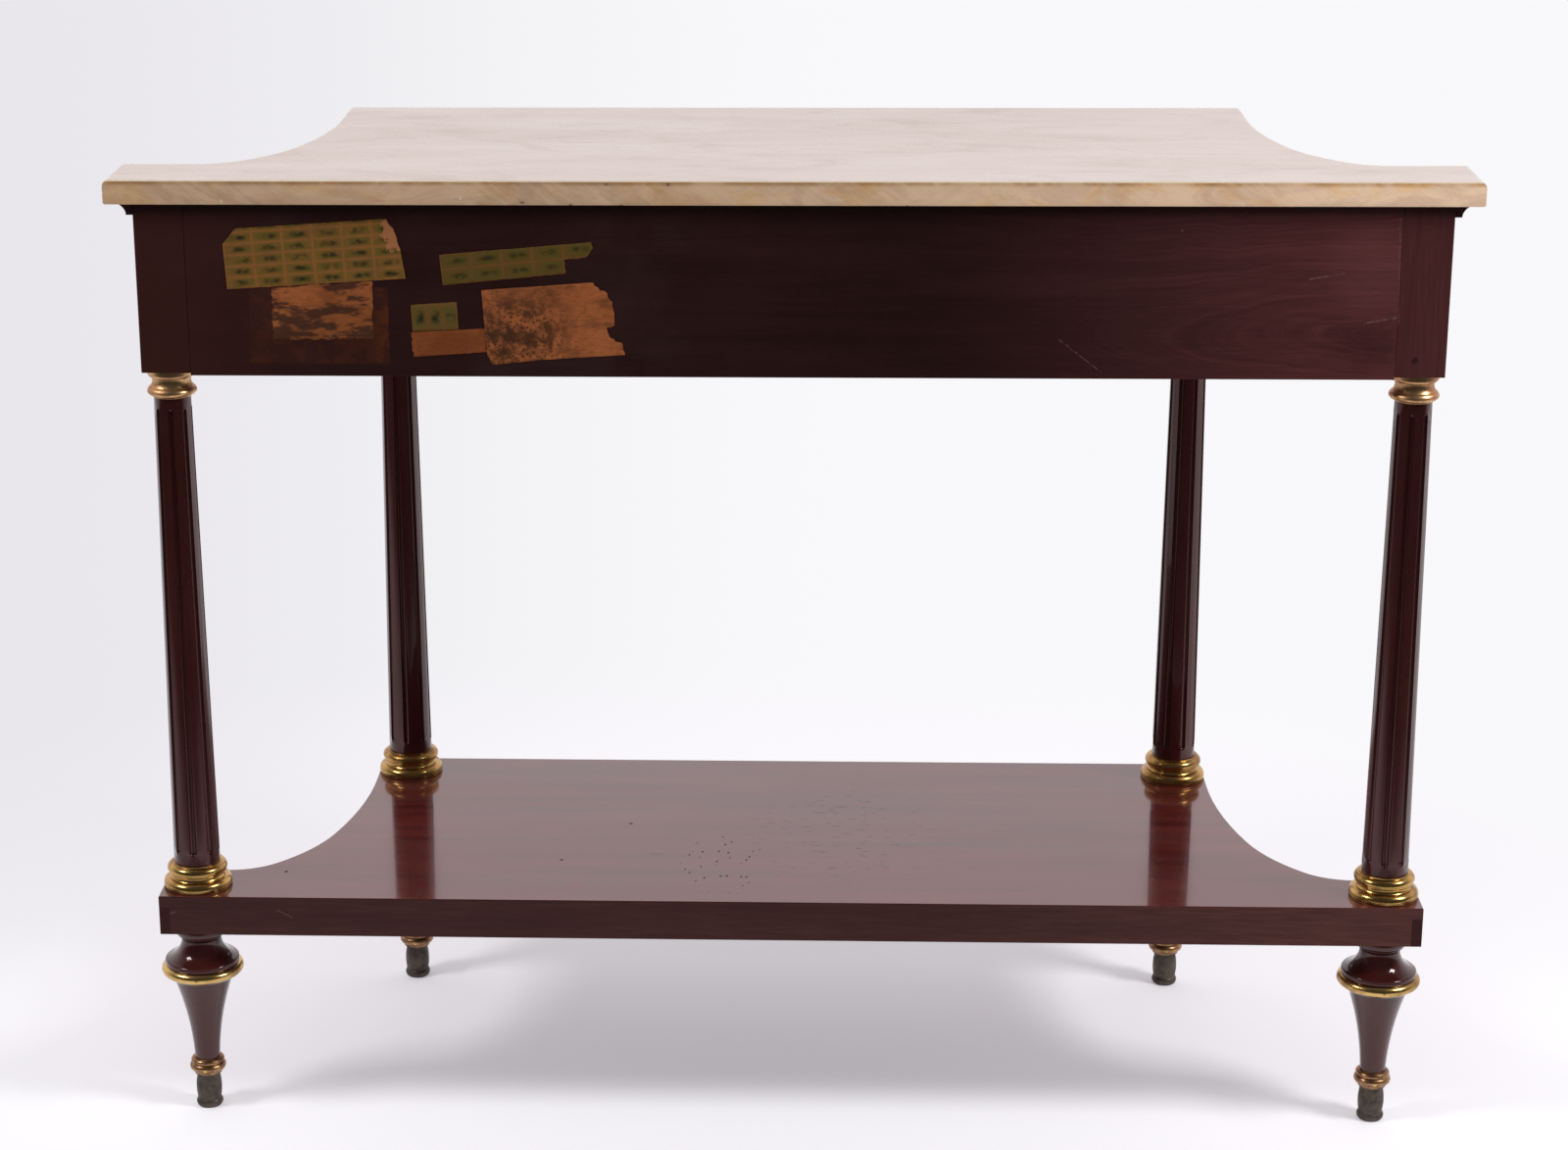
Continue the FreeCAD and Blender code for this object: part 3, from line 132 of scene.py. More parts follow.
class Graph:
    """A node tree, with one short call for each kind of node that this file uses.

    The scale of noise and cells is in waves or cells per metre of the place that it's given.
    """

    def __init__(self, tree):
        self.tree = tree
        tree.nodes.clear()

    def connect(self, socket, value):
        if isinstance(value, bpy.types.NodeSocket):
            self.tree.links.new(value, socket)
        elif socket.type == "RGBA" and len(value) == 3:
            socket.default_value = (*value, 1.0)
        else:
            socket.default_value = value

    def add(self, kind, inputs=(), **settings):
        node = self.tree.nodes.new("ShaderNode" + kind)
        for key, value in settings.items():
            setattr(node, key, value)
        for key, value in dict(inputs).items():
            self.connect(node.inputs[key], value)
        return node

    def math(self, operation, a, b=0.0):
        return self.add("Math", {0: a, 1: b}, operation=operation).outputs[0]

    def times(self, a, b):
        return self.math("MULTIPLY", a, b)

    def plus(self, a, b):
        return self.math("ADD", a, b)

    def minus(self, a, b):
        return self.math("SUBTRACT", a, b)

    def most(self, a, b):
        return self.math("MAXIMUM", a, b)

    def total(self, *terms):
        """The sum of values, each times its share. A term is (value, share)."""
        first = self.times(*terms[0])
        return self.plus(first, self.total(*terms[1:])) if len(terms) > 1 else first

    def vector(self, operation, a, b):
        return self.add("VectorMath", {0: a, 1: b}, operation=operation).outputs[0]

    def length(self, vector):
        return self.add("VectorMath", {0: vector}, operation="LENGTH").outputs["Value"]

    def smooth(self, value, low, high, start=0.0, end=1.0):
        """Goes smoothly from start at low to end at high, and is level outside them."""
        inputs = {"Value": value, "From Min": low, "From Max": high, "To Min": start, "To Max": end}
        return self.add("MapRange", inputs, interpolation_type="SMOOTHSTEP").outputs[0]

    def below(self, value, edge, softness):
        """1 where value is under edge, 0 where it is over it."""
        return self.smooth(value, edge - softness, edge + softness, 1.0, 0.0)

    def inside(self, value, low, high, softness):
        """1 where value is between low and high, 0 outside them."""
        over_low = self.smooth(value, low - softness, low + softness)
        return self.times(over_low, self.below(value, high, softness))

    def mix(self, factor, a, b, blend="MIX"):
        inputs = {0: factor, 6: a, 7: b}
        return self.add("Mix", inputs, data_type="RGBA", blend_type=blend).outputs[2]

    def paint(self, ground, colour, mask, share=None, blend="MIX"):
        """The ground with a colour laid over it where mask is 1. share is how much it covers."""
        cover = mask if share is None else self.times(mask, share)
        return self.mix(cover, ground, colour, blend)

    def grey(self, value):
        """A number as a grey colour."""
        inputs = {"Red": value, "Green": value, "Blue": value}
        return self.add("CombineColor", inputs).outputs[0]

    def place(self):
        """The point on the object, in metres in the table's own frame."""
        return self.add("TexCoord").outputs["Object"]

    def facing(self, axis):
        """How far the surface faces along an axis, from -1 to 1."""
        normal = self.add("NewGeometry").outputs["Normal"]
        return self.parts(normal)["XYZ".index(axis)]

    def scattered(self, place):
        """The place, moved by another amount on each piece, so that no two pieces repeat."""
        spread = self.add("ObjectInfo").outputs["Random"]
        moves = {axis: self.times(spread, reach) for axis, reach in enumerate(SCATTER)}
        return self.vector("ADD", place, self.add("CombineXYZ", moves).outputs[0])

    def ragged(self, place, size, scale):
        """The place, shifted irregularly by up to about size: edges drawn with it are ragged."""
        inputs = {"Vector": place, "Scale": scale, "Detail": NOISE_DETAIL}
        noise = self.add("TexNoise", inputs).outputs[1]
        shift = self.vector("SUBTRACT", noise, (0.5, 0.5, 0.5))
        return self.vector("ADD", place, self.vector("MULTIPLY", shift, (NOISE_GAIN * size,) * 3))

    def parts(self, vector):
        node = self.add("SeparateXYZ", {0: vector})
        return node.outputs[0], node.outputs[1], node.outputs[2]

    def stretched(self, vector, scale, turn=(0.0, 0.0, 0.0)):
        return self.add("Mapping", {"Vector": vector, "Scale": scale, "Rotation": turn}).outputs[0]

    def noise(self, vector, scale, detail=NOISE_DETAIL, roughness=0.5, distortion=0.0):
        """Cloudy noise round 0.5. More roughness makes its finer layers stronger."""
        inputs = {"Vector": vector, "Scale": scale, "Detail": detail, "Roughness": roughness,
                  "Distortion": distortion}
        return self.add("TexNoise", inputs).outputs[0]

    def patches(self, vector, scale, low=0.3, high=0.7, start=0.0, end=1.0, **texture):
        """Noise with more contrast: it's start where the noise is under low, and end over high."""
        return self.smooth(self.noise(vector, scale, **texture), low, high, start, end)

    def cells(self, first, second, scale):
        """The distance to the nearest of many points scattered in a plane, over their mean spacing."""
        flat = self.add("CombineXYZ", {0: first, 1: second}).outputs[0]
        inputs = {"Vector": flat, "Scale": scale}
        return self.add("TexVoronoi", inputs, voronoi_dimensions="2D").outputs["Distance"]

    def bump(self, height, depth):
        """Surface relief: height goes from 0 to 1, and depth is what 1 stands for."""
        return self.add("Bump", {"Height": height, "Distance": depth}).outputs[0]

    def segment(self, first, second, start, end, width):
        """1 on the line from start to end and 0 off it, in the plane of the two coordinates."""
        length = math.dist(start, end)
        along_first = (end[0] - start[0]) / length
        along_second = (end[1] - start[1]) / length
        first = self.minus(first, start[0])
        second = self.minus(second, start[1])
        along = self.plus(self.times(first, along_first), self.times(second, along_second))
        across = self.minus(self.times(first, along_second), self.times(second, along_first))
        near = self.below(self.math("ABSOLUTE", across), width, width / 2)
        past_start = self.smooth(along, 0.0, width)
        before_end = self.smooth(along, length - width, length, 1.0, 0.0)
        return self.times(near, self.times(past_start, before_end))

    def ellipse(self, first, second, centre, radii, softness=0.4):
        """1 inside an ellipse and 0 outside it, in the plane of the two coordinates."""
        first = self.math("DIVIDE", self.minus(first, centre[0]), radii[0])
        second = self.math("DIVIDE", self.minus(second, centre[1]), radii[1])
        square = self.plus(self.times(first, first), self.times(second, second))
        return self.below(self.math("SQRT", square), 1.0, softness)

    def output(self, shader, kind="OutputMaterial"):
        self.tree.links.new(shader, self.add(kind).inputs[0])

    def surface(self, **inputs):
        """The material's shader. A socket's name is written in lower case, with underscores."""
        named = {key.replace("_", " ").title().replace("Ior", "IOR"): value
                 for key, value in inputs.items()}
        self.output(self.add("BsdfPrincipled", named).outputs[0])


def material(name):
    made = bpy.data.materials.new(name)
    made.use_nodes = True
    return made, Graph(made.node_tree)


# ---- Wood ----

GRAIN_LENGTH = 18.0       # how much longer than wide the streaks of the wood are
PORE_LENGTH = 14.0        # the same of its pores
PORE_SHADE = 0.35         # brightness of the pores against the dark wood
PORE_SHARE = 0.5
POLISH_IOR = 1.5
RED_SHEEN = (1.0, 0.42, 0.42)
SATIN = (0.26, 0.4)       # roughness, from its lowest to its highest
POLISHED = (0.2, 0.32)
LINE_HEIGHT = 0.4         # share in the relief where no polish fills the grain
PORE_HEIGHT = -0.6


def along_grain(g, place, axis, ratio):
    scale = [1.0, 1.0, 1.0]
    scale["XYZ".index(axis)] = 1.0 / ratio
    return g.stretched(place, scale)


def wood_grain(g, place, axis):
    """Three layers of a board's grain, each about 0 to 1: broad streaks, fine lines and pores."""
    grain = along_grain(g, place, axis, GRAIN_LENGTH)
    streaks = g.patches(grain, 55.0, detail=5.0, roughness=0.6, distortion=0.6)
    lines = g.patches(grain, 420.0, detail=4.0, roughness=0.6)
    pores = g.patches(along_grain(g, place, axis, PORE_LENGTH), 1500.0, 0.6, 0.72, detail=2.0)
    return streaks, lines, pores


def wood_colour(g, place, axis, dark, light):
    """The colour of a board whose grain runs along an axis, and the three layers of its grain."""
    streaks, lines, pores = wood_grain(g, place, axis)
    clouds = g.patches(place, 6.0)
    colour = g.mix(g.total((streaks, 0.5), (lines, 0.2), (clouds, 0.3)), dark, light)
    pore_colour = tuple(PORE_SHADE * part for part in dark)
    return g.paint(colour, pore_colour, pores, PORE_SHARE), streaks, lines, pores


def open_relief(g, lines, pores, depth):
    """The relief of wood that no polish fills."""
    return g.bump(g.total((lines, LINE_HEIGHT), (pores, PORE_HEIGHT)), depth)


def wood_surface(g, **inputs):
    """The shader of wood, which reddens what it reflects."""
    g.surface(specular_tint=RED_SHEEN, **inputs)


def uneven_gloss(g, place, scale, limits, **texture):
    """Roughness that varies between two limits in soft clouds."""
    return g.patches(place, scale, start=limits[0], end=limits[1], **texture)


def polished(name, axis, dark, light, coat=0.6, coat_roughness=0.06, gloss=POLISHED, specular=0.45):
    """Wood under french polish."""
    made, g = material(name)
    place = g.scattered(g.place())
    colour, _, _, pores = wood_colour(g, place, axis, dark, light)
    relief = g.total((pores, -0.5), (g.noise(place, 45.0, detail=2.0), 0.5))
    wood_surface(
        g,
        base_color=colour,
        roughness=uneven_gloss(g, place, 14.0, gloss, detail=4.0, roughness=0.6),
        specular_ior_level=specular,
        coat_weight=coat,
        coat_roughness=coat_roughness,
        coat_ior=POLISH_IOR,
        normal=g.bump(relief, depth=0.04 * MM),
    )
    return made


# ---- The back of the frieze ----

BOARD_DARK = (0.013, 0.0048, 0.0047)
BOARD_LIGHT = (0.025, 0.009, 0.0086)
BOARD_RED = (0.111, 0.032, 0.032)
BOARD_WARM = (0.043, 0.0136, 0.0104)
# Painted sheen: a paler, pinker patch by the right joint.
BOARD_PAINTED_SHEEN = (0.19, 0.072, 0.078)
SCRATCH_COLOUR = (0.24, 0.15, 0.13)
DARK_MARK_COLOUR = (0.012, 0.004, 0.004)
GLUE_COLOUR = (0.072, 0.0192, 0.0056)
DUST_COLOUR = (0.2, 0.16, 0.18)
# Painted shade: the dark band under the marble's overhang.
UNDER_TOP_SHADE_COLOUR = (0.0045, 0.003, 0.0032)

RED_RANGE = (-0.62, -0.1)              # x where the wood is reddest, and x where the red is gone
WARM_RANGE = (0.36, 0.55)              # x where the warm tone starts, and x where it's full
BOARD_REDNESS = {"X": 1.0, "Z": 0.62}  # by the axis of the grain: the board, the corner blocks
WARM_SHARE = 0.6
DUST_SHARE = 0.03
UNDER_TOP_SHADE_SHARE = 0.82
UNDER_TOP_SHADE_DEPTH = (4.5 * MM, 14 * MM)      # painted shade under the marble's overhang: depth where it is full, and where it ends
FIGURE_HEIGHT = 6.5                    # how much longer than high the arcs of the board's figure are
FIGURE_SHADE = (0.74, 1.12)            # brightness of its darkest and of its palest arc

# Marks on the back board: (from, to) as pixels of the photograph, and half the width.
THIN_SCRATCH = ((1080, 346), (1124, 380), 0.35 * MM)
SCUFF_BY_JOINT = ((1391, 330), (1426, 324), 0.7 * MM)
SCUFF_ABOVE_IT = ((1335, 285), (1373, 279), 0.6 * MM)
PALE_DOT = ((1205, 235), (1208, 236), 0.9 * MM)
JOINT_LINE = ((1429, 222), (1427, 330), 0.3 * MM)
PALE_MARKS = (THIN_SCRATCH, SCUFF_BY_JOINT, SCUFF_ABOVE_IT, PALE_DOT, JOINT_LINE)
DARK_MARK = ((1440, 371), (1447, 365), 2.0 * MM)

FIGURE_CENTRE = (1500, 343)
# A painted sheen and a dark place by the right joint: pixels of middle and half sizes, colour, share.
PAINTED_SHEEN_PLACE = ((1402, 276), (38, 34), BOARD_PAINTED_SHEEN, 0.18)
DARK_PLACE = ((1398, 347), (34, 18), BOARD_DARK, 0.4)

# The brown stain of lost labels: two opposite corners, and where it gets stronger.
STAIN_CORNERS = ((253, 293), (398, 371))
STAIN_STRONG_FROM = (375, 330)
STAIN_SOFTNESS = 0.6 * MM


def line_on_board(g, x, z, mark):
    """1 on a straight mark of the table's back and 0 off it."""
    start, end, half_width = mark
    return g.segment(x, z, on_board(start), on_board(end), half_width)


def chipped(g, ground, x, z, pixels, radii, colour, share):
    """The ground with a chip at each of some pixels."""
    for pixel in pixels:
        ground = g.paint(ground, colour, g.ellipse(x, z, on_board(pixel), radii), share)
    return ground


def board_marks(g, place, colour):
    """Broken scratches, scuffs and a dark mark on the back of the frieze."""
    x, _, z = g.parts(g.ragged(place, 0.4 * MM, 400.0))
    broken = g.patches(place, 260.0, 0.42, 0.6, 0.08, 0.42, detail=2.0)
    for mark in PALE_MARKS:
        colour = g.paint(colour, SCRATCH_COLOUR, line_on_board(g, x, z, mark), broken)
    return g.paint(colour, DARK_MARK_COLOUR, line_on_board(g, x, z, DARK_MARK), 0.7)


def board_figure(g, place, colour, redness):
    """Faint arcs in the grain where the board is red, a painted sheen and a dark spot by its joint."""
    centre_x, centre_z = on_board(FIGURE_CENTRE)
    shifted = g.vector("SUBTRACT", g.ragged(place, 9 * MM, 9.0), (centre_x, 0.0, centre_z))
    reach = g.length(g.stretched(shifted, (1.0, 0.0, FIGURE_HEIGHT)))
    rings = g.add("CombineXYZ", {0: reach}).outputs[0]
    shade = g.patches(rings, 44.0, 0.3, 0.68, *FIGURE_SHADE, detail=5.0, roughness=0.72)
    figured = g.mix(1.0, colour, g.grey(shade), "MULTIPLY")
    colour = g.paint(colour, figured, g.smooth(redness, 0.0, 0.5))
    # A painted sheen and a dark spot by the right joint.
    x, _, z = g.parts(g.ragged(place, 12 * MM, 40.0))
    for middle, radii, target, share in (PAINTED_SHEEN_PLACE, DARK_PLACE):
        spot = g.ellipse(x, z, *pixel_ellipse(on_board, middle, radii), softness=0.9)
        colour = g.paint(colour, target, spot, share)
    return colour


def glue_stain(g, place):
    """How strongly the stain covers the board: patchy, and stronger at one end."""
    x, _, z = g.parts(place)
    (left, high), (right, low) = (on_board(corner) for corner in STAIN_CORNERS)
    patches = g.patches(g.ragged(place, 4 * MM, 60.0), 70.0, 0.42, 0.6, detail=5.0, roughness=0.65)
    within = g.times(g.inside(x, right, left, STAIN_SOFTNESS), g.inside(z, low, high, STAIN_SOFTNESS))
    strength = g.smooth(x, right, on_board(STAIN_STRONG_FROM)[0], 1.0, 0.45)
    return g.times(g.times(within, strength), g.smooth(patches, 0.0, 1.0, 0.35, 1.0))


def back_board(name, axis):
    """Unpolished mahogany, darker in its middle, with faint arcs in the grain towards -X, and painted
    shade under the marble.
    """
    made, g = material(name)
    place = g.place()
    x, _, z = g.parts(place)
    colour, streaks, lines, pores = wood_colour(g, g.scattered(place), axis, BOARD_DARK, BOARD_LIGHT)
    redness = g.smooth(x, *RED_RANGE, BOARD_REDNESS[axis], 0.0)
    grain = g.total((streaks, 0.5), (lines, 0.5))
    colour = g.paint(colour, BOARD_RED, redness, g.smooth(grain, 0.2, 0.8, 0.76, 1.0))
    colour = g.paint(colour, BOARD_WARM, g.smooth(x, *WARM_RANGE), WARM_SHARE)
    if axis == "X":
        colour = board_figure(g, place, colour, redness)
    colour = g.paint(colour, GLUE_COLOUR, glue_stain(g, place))
    dust = g.patches(place, 9.0, 0.5, 0.75, detail=4.0, roughness=0.6)
    colour = g.paint(colour, DUST_COLOUR, dust, DUST_SHARE)
    colour = board_marks(g, place, colour)
    # Painted shade of the marble's overhang: a dark band along the top of the board.
    full, end = (MARBLE_LOW.z - depth for depth in UNDER_TOP_SHADE_DEPTH)
    colour = g.paint(colour, UNDER_TOP_SHADE_COLOUR, g.smooth(z, end, full, 0.0, UNDER_TOP_SHADE_SHARE))
    outer = g.smooth(g.facing("Y"), 0.5, 0.9)
    wood_surface(
        g,
        base_color=colour,
        roughness=g.plus(g.times(outer, 0.28), uneven_gloss(g, place, 20.0, (0.24, 0.36))),
        specular_ior_level=0.16,
        normal=open_relief(g, lines, pores, depth=0.08 * MM),
    )
    return made


# ---- The shelf ----

SHELF_DARK = (0.03, 0.006, 0.0062)
SHELF_LIGHT = (0.14, 0.0215, 0.0185)
SHELF_PALE = (0.15, 0.045, 0.04)  # in broad bands along the board
SPOT_COLOUR = (0.012, 0.004, 0.006)
EDGE_DARK = (0.014, 0.008, 0.0068)
EDGE_LIGHT = (0.048, 0.021, 0.016)
EDGE_RED = (0.095, 0.037, 0.03)
CHIP_COLOUR = (0.42, 0.34, 0.31)

BAND_LENGTH = 7.0           # how much longer than wide the bands are
BAND_GLOSS = (0.635, 0.55)  # weight of the polish on dark and on pale wood
WORN_ROUGHNESS = 0.7
EDGE_GRAIN = 0.45           # how much darker the edge is between its fine lines

# Worn spots on the shelf's top, in two ellipses. Middle and radii are pixels of the photograph.
# squeeze lengthens the spots along X and Y by its inverse. size is their radius over their spacing.
WORN_FIELDS = (
    dict(middle=(738, 880), radii=(44, 30), squeeze=(1.0, 0.5), scale=105.0, size=0.115, strength=0.9),
    dict(middle=(860, 850), radii=(100, 48), squeeze=(0.3, 1.0), scale=120.0, size=0.15, strength=0.4),
)
SINGLE_SPOTS = ((644, 840), (573, 877), (292, 889))
SPOT_RADII = (1.8 * MM, 1.8 * MM)
FAINT_DASHES = ((837, 829), (858, 823), (884, 818), (670, 871))
DASH_RADII = (7 * MM, 1.6 * MM)
DASH_STRENGTH = 0.4

# Chips on the shelf's lower back edge and scratches above it, as pixels of the photograph.
EDGE_CHIPS = ((669, 955), (681, 956), (699, 956), (967, 960))
EDGE_CHIP_RADII = (2.4 * MM, 1.2 * MM)
EDGE_SCRATCHES = (((165, 930), (182, 926), 0.4 * MM), ((284, 924), (300, 932), 0.4 * MM))


def worn_field(g, place, middle, radii, squeeze, scale, size, strength):
    """Small spots in irregular groups within an ellipse."""
    x, y, _ = g.parts(place)
    field = g.ellipse(x, y, *pixel_ellipse(on_shelf, middle, radii))
    spots = g.below(g.cells(g.times(x, squeeze[0]), g.times(y, squeeze[1]), scale), size, 0.05)
    groups = g.patches(g.stretched(place, (1.0, 1.0, 0.0)), 60.0, 0.45, 0.52, detail=2.0)
    return g.times(g.times(field, g.times(spots, groups)), strength)


def shelf_wear(g, place):
    """Where the shelf's polish is gone: fields of small spots, single spots and faint dashes."""
    x, y, _ = g.parts(place)
    worn = 0.0
    for field in WORN_FIELDS:
        worn = g.most(worn, worn_field(g, place, **field))
    for pixel in SINGLE_SPOTS:
        worn = g.most(worn, g.ellipse(x, y, on_shelf(pixel), SPOT_RADII))
    for pixel in FAINT_DASHES:
        dash = g.ellipse(x, y, on_shelf(pixel), DASH_RADII)
        worn = g.most(worn, g.times(dash, DASH_STRENGTH))
    return worn


def edge_colour(g, place):
    """The wood of the shelf's edges, redder towards -X, with the lines and pores of its grain."""
    colour, streaks, lines, pores = wood_colour(g, place, "X", EDGE_DARK, EDGE_LIGHT)
    redness = g.smooth(g.parts(place)[0], *RED_RANGE, 1.0, 0.0)
    colour = g.paint(colour, EDGE_RED, redness, g.smooth(streaks, 0.0, 1.0, 0.7, 1.0))
    colour = g.paint(colour, EDGE_DARK, g.smooth(lines, 0.0, 1.0, EDGE_GRAIN, 0.0))
    return colour, lines, pores


def shelf_board(name):
    """The shelf's top board: polished and worn on top, satin on its edges like the board under it."""
    made, g = material(name)
    place = g.place()
    upward = g.smooth(g.facing("Z"), 0.4, 0.9)
    own_place = g.scattered(place)
    above, streaks, _, pores = wood_colour(g, own_place, "X", SHELF_DARK, SHELF_LIGHT)
    above = g.paint(above, SHELF_DARK, g.smooth(streaks, 0.0, 0.5, 0.5, 0.0))
    bands = g.patches(along_grain(g, own_place, "X", BAND_LENGTH), 16.0, 0.36, 0.64, distortion=0.4)
    above = g.paint(above, SHELF_PALE, bands, 0.35)
    worn = shelf_wear(g, place)
    above = g.paint(above, SPOT_COLOUR, worn, 0.9)
    aside, _, _ = edge_colour(g, place)
    gloss = g.smooth(bands, 0.0, 1.0, *BAND_GLOSS)
    flat_roughness = g.most(uneven_gloss(g, place, 9.0, (0.1, 0.15)), g.times(worn, WORN_ROUGHNESS))
    edge_roughness = uneven_gloss(g, place, 25.0, SATIN)
    relief = g.total((pores, -0.5), (g.noise(place, 30.0, detail=2.0), 0.35))
    wood_surface(
        g,
        base_color=g.mix(upward, aside, above),
        roughness=g.total((upward, flat_roughness), (g.minus(1.0, upward), edge_roughness)),
        specular_ior_level=0.5,
        coat_weight=g.times(upward, g.times(gloss, g.minus(1.0, worn))),
        coat_roughness=0.03,
        coat_ior=POLISH_IOR,
        normal=g.bump(relief, depth=0.03 * MM),
    )
    return made


def shelf_edge(name):
    """The satin edge of the shelf, with chips and scratches at the back."""
    made, g = material(name)
    place = g.place()
    x, _, z = g.parts(g.ragged(place, 0.8 * MM, 300.0))
    colour, lines, pores = edge_colour(g, place)
    colour = chipped(g, colour, x, z, EDGE_CHIPS, EDGE_CHIP_RADII, CHIP_COLOUR, 0.7)
    for scratch in EDGE_SCRATCHES:
        colour = g.paint(colour, SCRATCH_COLOUR, line_on_board(g, x, z, scratch), 0.3)
    wood_surface(
        g,
        base_color=colour,
        roughness=uneven_gloss(g, place, 25.0, SATIN),
        specular_ior_level=0.5,
        normal=open_relief(g, lines, pores, depth=0.06 * MM),
    )
    return made


STRIP_DARK = (0.04, 0.0095, 0.0085)
STRIP_LIGHT = (0.08, 0.019, 0.017)
END_DARK = (0.008, 0.004, 0.005)
END_LIGHT = (0.022, 0.008, 0.008)
SQUARE_ON = (0.97, 0.995)  # facing along Y where a strip's end starts, and is full


def end_grain(name):
    """Side strips of shelf and cornice: polished outside, dark end grain at back and front."""
    made, g = material(name)
    place = g.place()
    colour, _, _, pores = wood_colour(g, g.scattered(place), "Y", STRIP_DARK, STRIP_LIGHT)
    cut = g.smooth(g.math("ABSOLUTE", g.facing("Y")), *SQUARE_ON)
    specks = g.patches(place, 700.0, 0.4, 0.6)
    wood_surface(
        g,
        base_color=g.paint(colour, g.mix(specks, END_DARK, END_LIGHT), cut, 0.9),
        roughness=uneven_gloss(g, place, 25.0, (0.24, 0.38)),
        specular_ior_level=0.4,
        normal=g.bump(g.times(pores, -1.0), depth=0.05 * MM),
    )
    return made


# ---- Marble ----

MARBLE_CREAM = (0.655, 0.543, 0.472)
MARBLE_PALE = (0.738, 0.636, 0.578)
MARBLE_HAZE = (0.59, 0.5, 0.45)
MARBLE_VEIN = (0.52, 0.43, 0.38)
SAWN_BROWN = (0.6, 0.412, 0.258)
SAWN_YELLOW = (0.97, 0.705, 0.48)
SAWN_STAIN = (0.84, 0.81, 0.82)  # what stains, warm patches and streaks multiply it by
SAWN_WARM = (1.0, 0.905, 0.74)
SAWN_STREAK = (0.76, 0.745, 0.72)
SAWN_OCHRE = (0.64, 0.51, 0.33)  # a stained band close under the top
SAWN_ARRIS = (1.0, 0.88, 0.64)   # a pale line along the top
SAWN_GRIME = (0.3, 0.19, 0.12)
PALE_CHIP = (0.86, 0.76, 0.66)
DARK_CHIP = (0.13, 0.065, 0.025)

BROWN_RANGE = (-0.68, 0.25)  # x where the sawn edge is brown, and x where it's yellow
OCHRE_WIDTH = 6.0 * MM
ARRIS_WIDTH = 1.7 * MM
FADE = 0.3                   # share of those widths, at the top, where they are full
GRIME_HEIGHT = 0.35 * MARBLE_THICKNESS
STREAK_TURN = math.radians(-54)
STREAK_STRETCH = (150.0, 1.0, 14.0)
VEIN_WIDTH = 0.012           # in the noise that draws them
PALE_CHIPS = ((228, 203), (471, 200), (1268, 207), (1401, 186))
PALE_CHIP_RADII = (0.9 * MM, 1.8 * MM)
DARK_CHIPS = ((534, 204), (583, 207), (635, 208), (619, 186), (682, 186), (926, 209))
DARK_CHIP_RADII = (1.8 * MM, 1.2 * MM)


def marble_top_colour(g, place):
    """Cream clouds with haze and faint veins drawn along X, and the haze alone."""
    drawn = g.stretched(place, (1.0, 4.0, 4.0))
    clouds = g.patches(drawn, 3.2, detail=6.0, roughness=0.6, distortion=0.8)
    from_vein = g.minus(g.noise(drawn, 2.3, detail=7.0, roughness=0.62, distortion=1.6), 0.5)
    veins = g.below(g.math("ABSOLUTE", from_vein), VEIN_WIDTH, VEIN_WIDTH)
    haze = g.patches(g.stretched(place, (1.0, 2.2, 2.2)), 11.0, 0.45, 0.75,
                     detail=5.0, roughness=0.65, distortion=1.0)
    colour = g.mix(clouds, MARBLE_CREAM, MARBLE_PALE)
    colour = g.paint(colour, MARBLE_HAZE, haze, 0.3)
    return g.paint(colour, MARBLE_VEIN, veins, 0.16), haze


def under_top(g, z, width):
    """1 at the top of the marble's edge and 0 from width under it."""
    return g.smooth(z, MARBLE_HIGH.z - width, MARBLE_HIGH.z - FADE * width)


def sawn_colour(g, place, streaks):
    """The sawn back edge: stained, streaked, browner towards -X, chipped and dirty below."""
    x, _, z = g.parts(place)
    streaked = g.patches(place, 8.0, 0.4, 0.62, 0.1, 0.75, detail=2.0)
    stains = g.patches(g.stretched(place, (1.0, 1.0, 2.5)), 16.0, 0.4, 0.62,
                       detail=6.0, roughness=0.7, distortion=1.2)
    warm = g.patches(g.stretched(place, (1.0, 0.0, 1.6)), 24.0, 0.48, 0.64,
                     detail=5.0, roughness=0.65, distortion=0.8)
    sawn = g.mix(g.smooth(x, *BROWN_RANGE, 1.0, 0.0), SAWN_BROWN, SAWN_YELLOW)
    sawn = g.paint(sawn, SAWN_STAIN, stains, 0.9, "MULTIPLY")
    sawn = g.paint(sawn, SAWN_WARM, warm, blend="MULTIPLY")
    sawn = g.paint(sawn, SAWN_STREAK, streaks, streaked, "MULTIPLY")
    broken = g.patches(place, 30.0, 0.38, 0.58, 0.35, 1.0, detail=4.0, roughness=0.6)
    sawn = g.paint(sawn, SAWN_OCHRE, under_top(g, z, OCHRE_WIDTH), broken, "MULTIPLY")
    sawn = g.paint(sawn, SAWN_ARRIS, under_top(g, z, ARRIS_WIDTH), 0.85)
    sawn = g.paint(sawn, SAWN_GRIME, g.smooth(z, MARBLE_LOW.z, MARBLE_LOW.z + GRIME_HEIGHT, 0.14, 0.0))
    x, _, z = g.parts(g.ragged(place, 1.5 * MM, 350.0))
    sawn = chipped(g, sawn, x, z, PALE_CHIPS, PALE_CHIP_RADII, PALE_CHIP, 0.3)
    return chipped(g, sawn, x, z, DARK_CHIPS, DARK_CHIP_RADII, DARK_CHIP, 0.8)


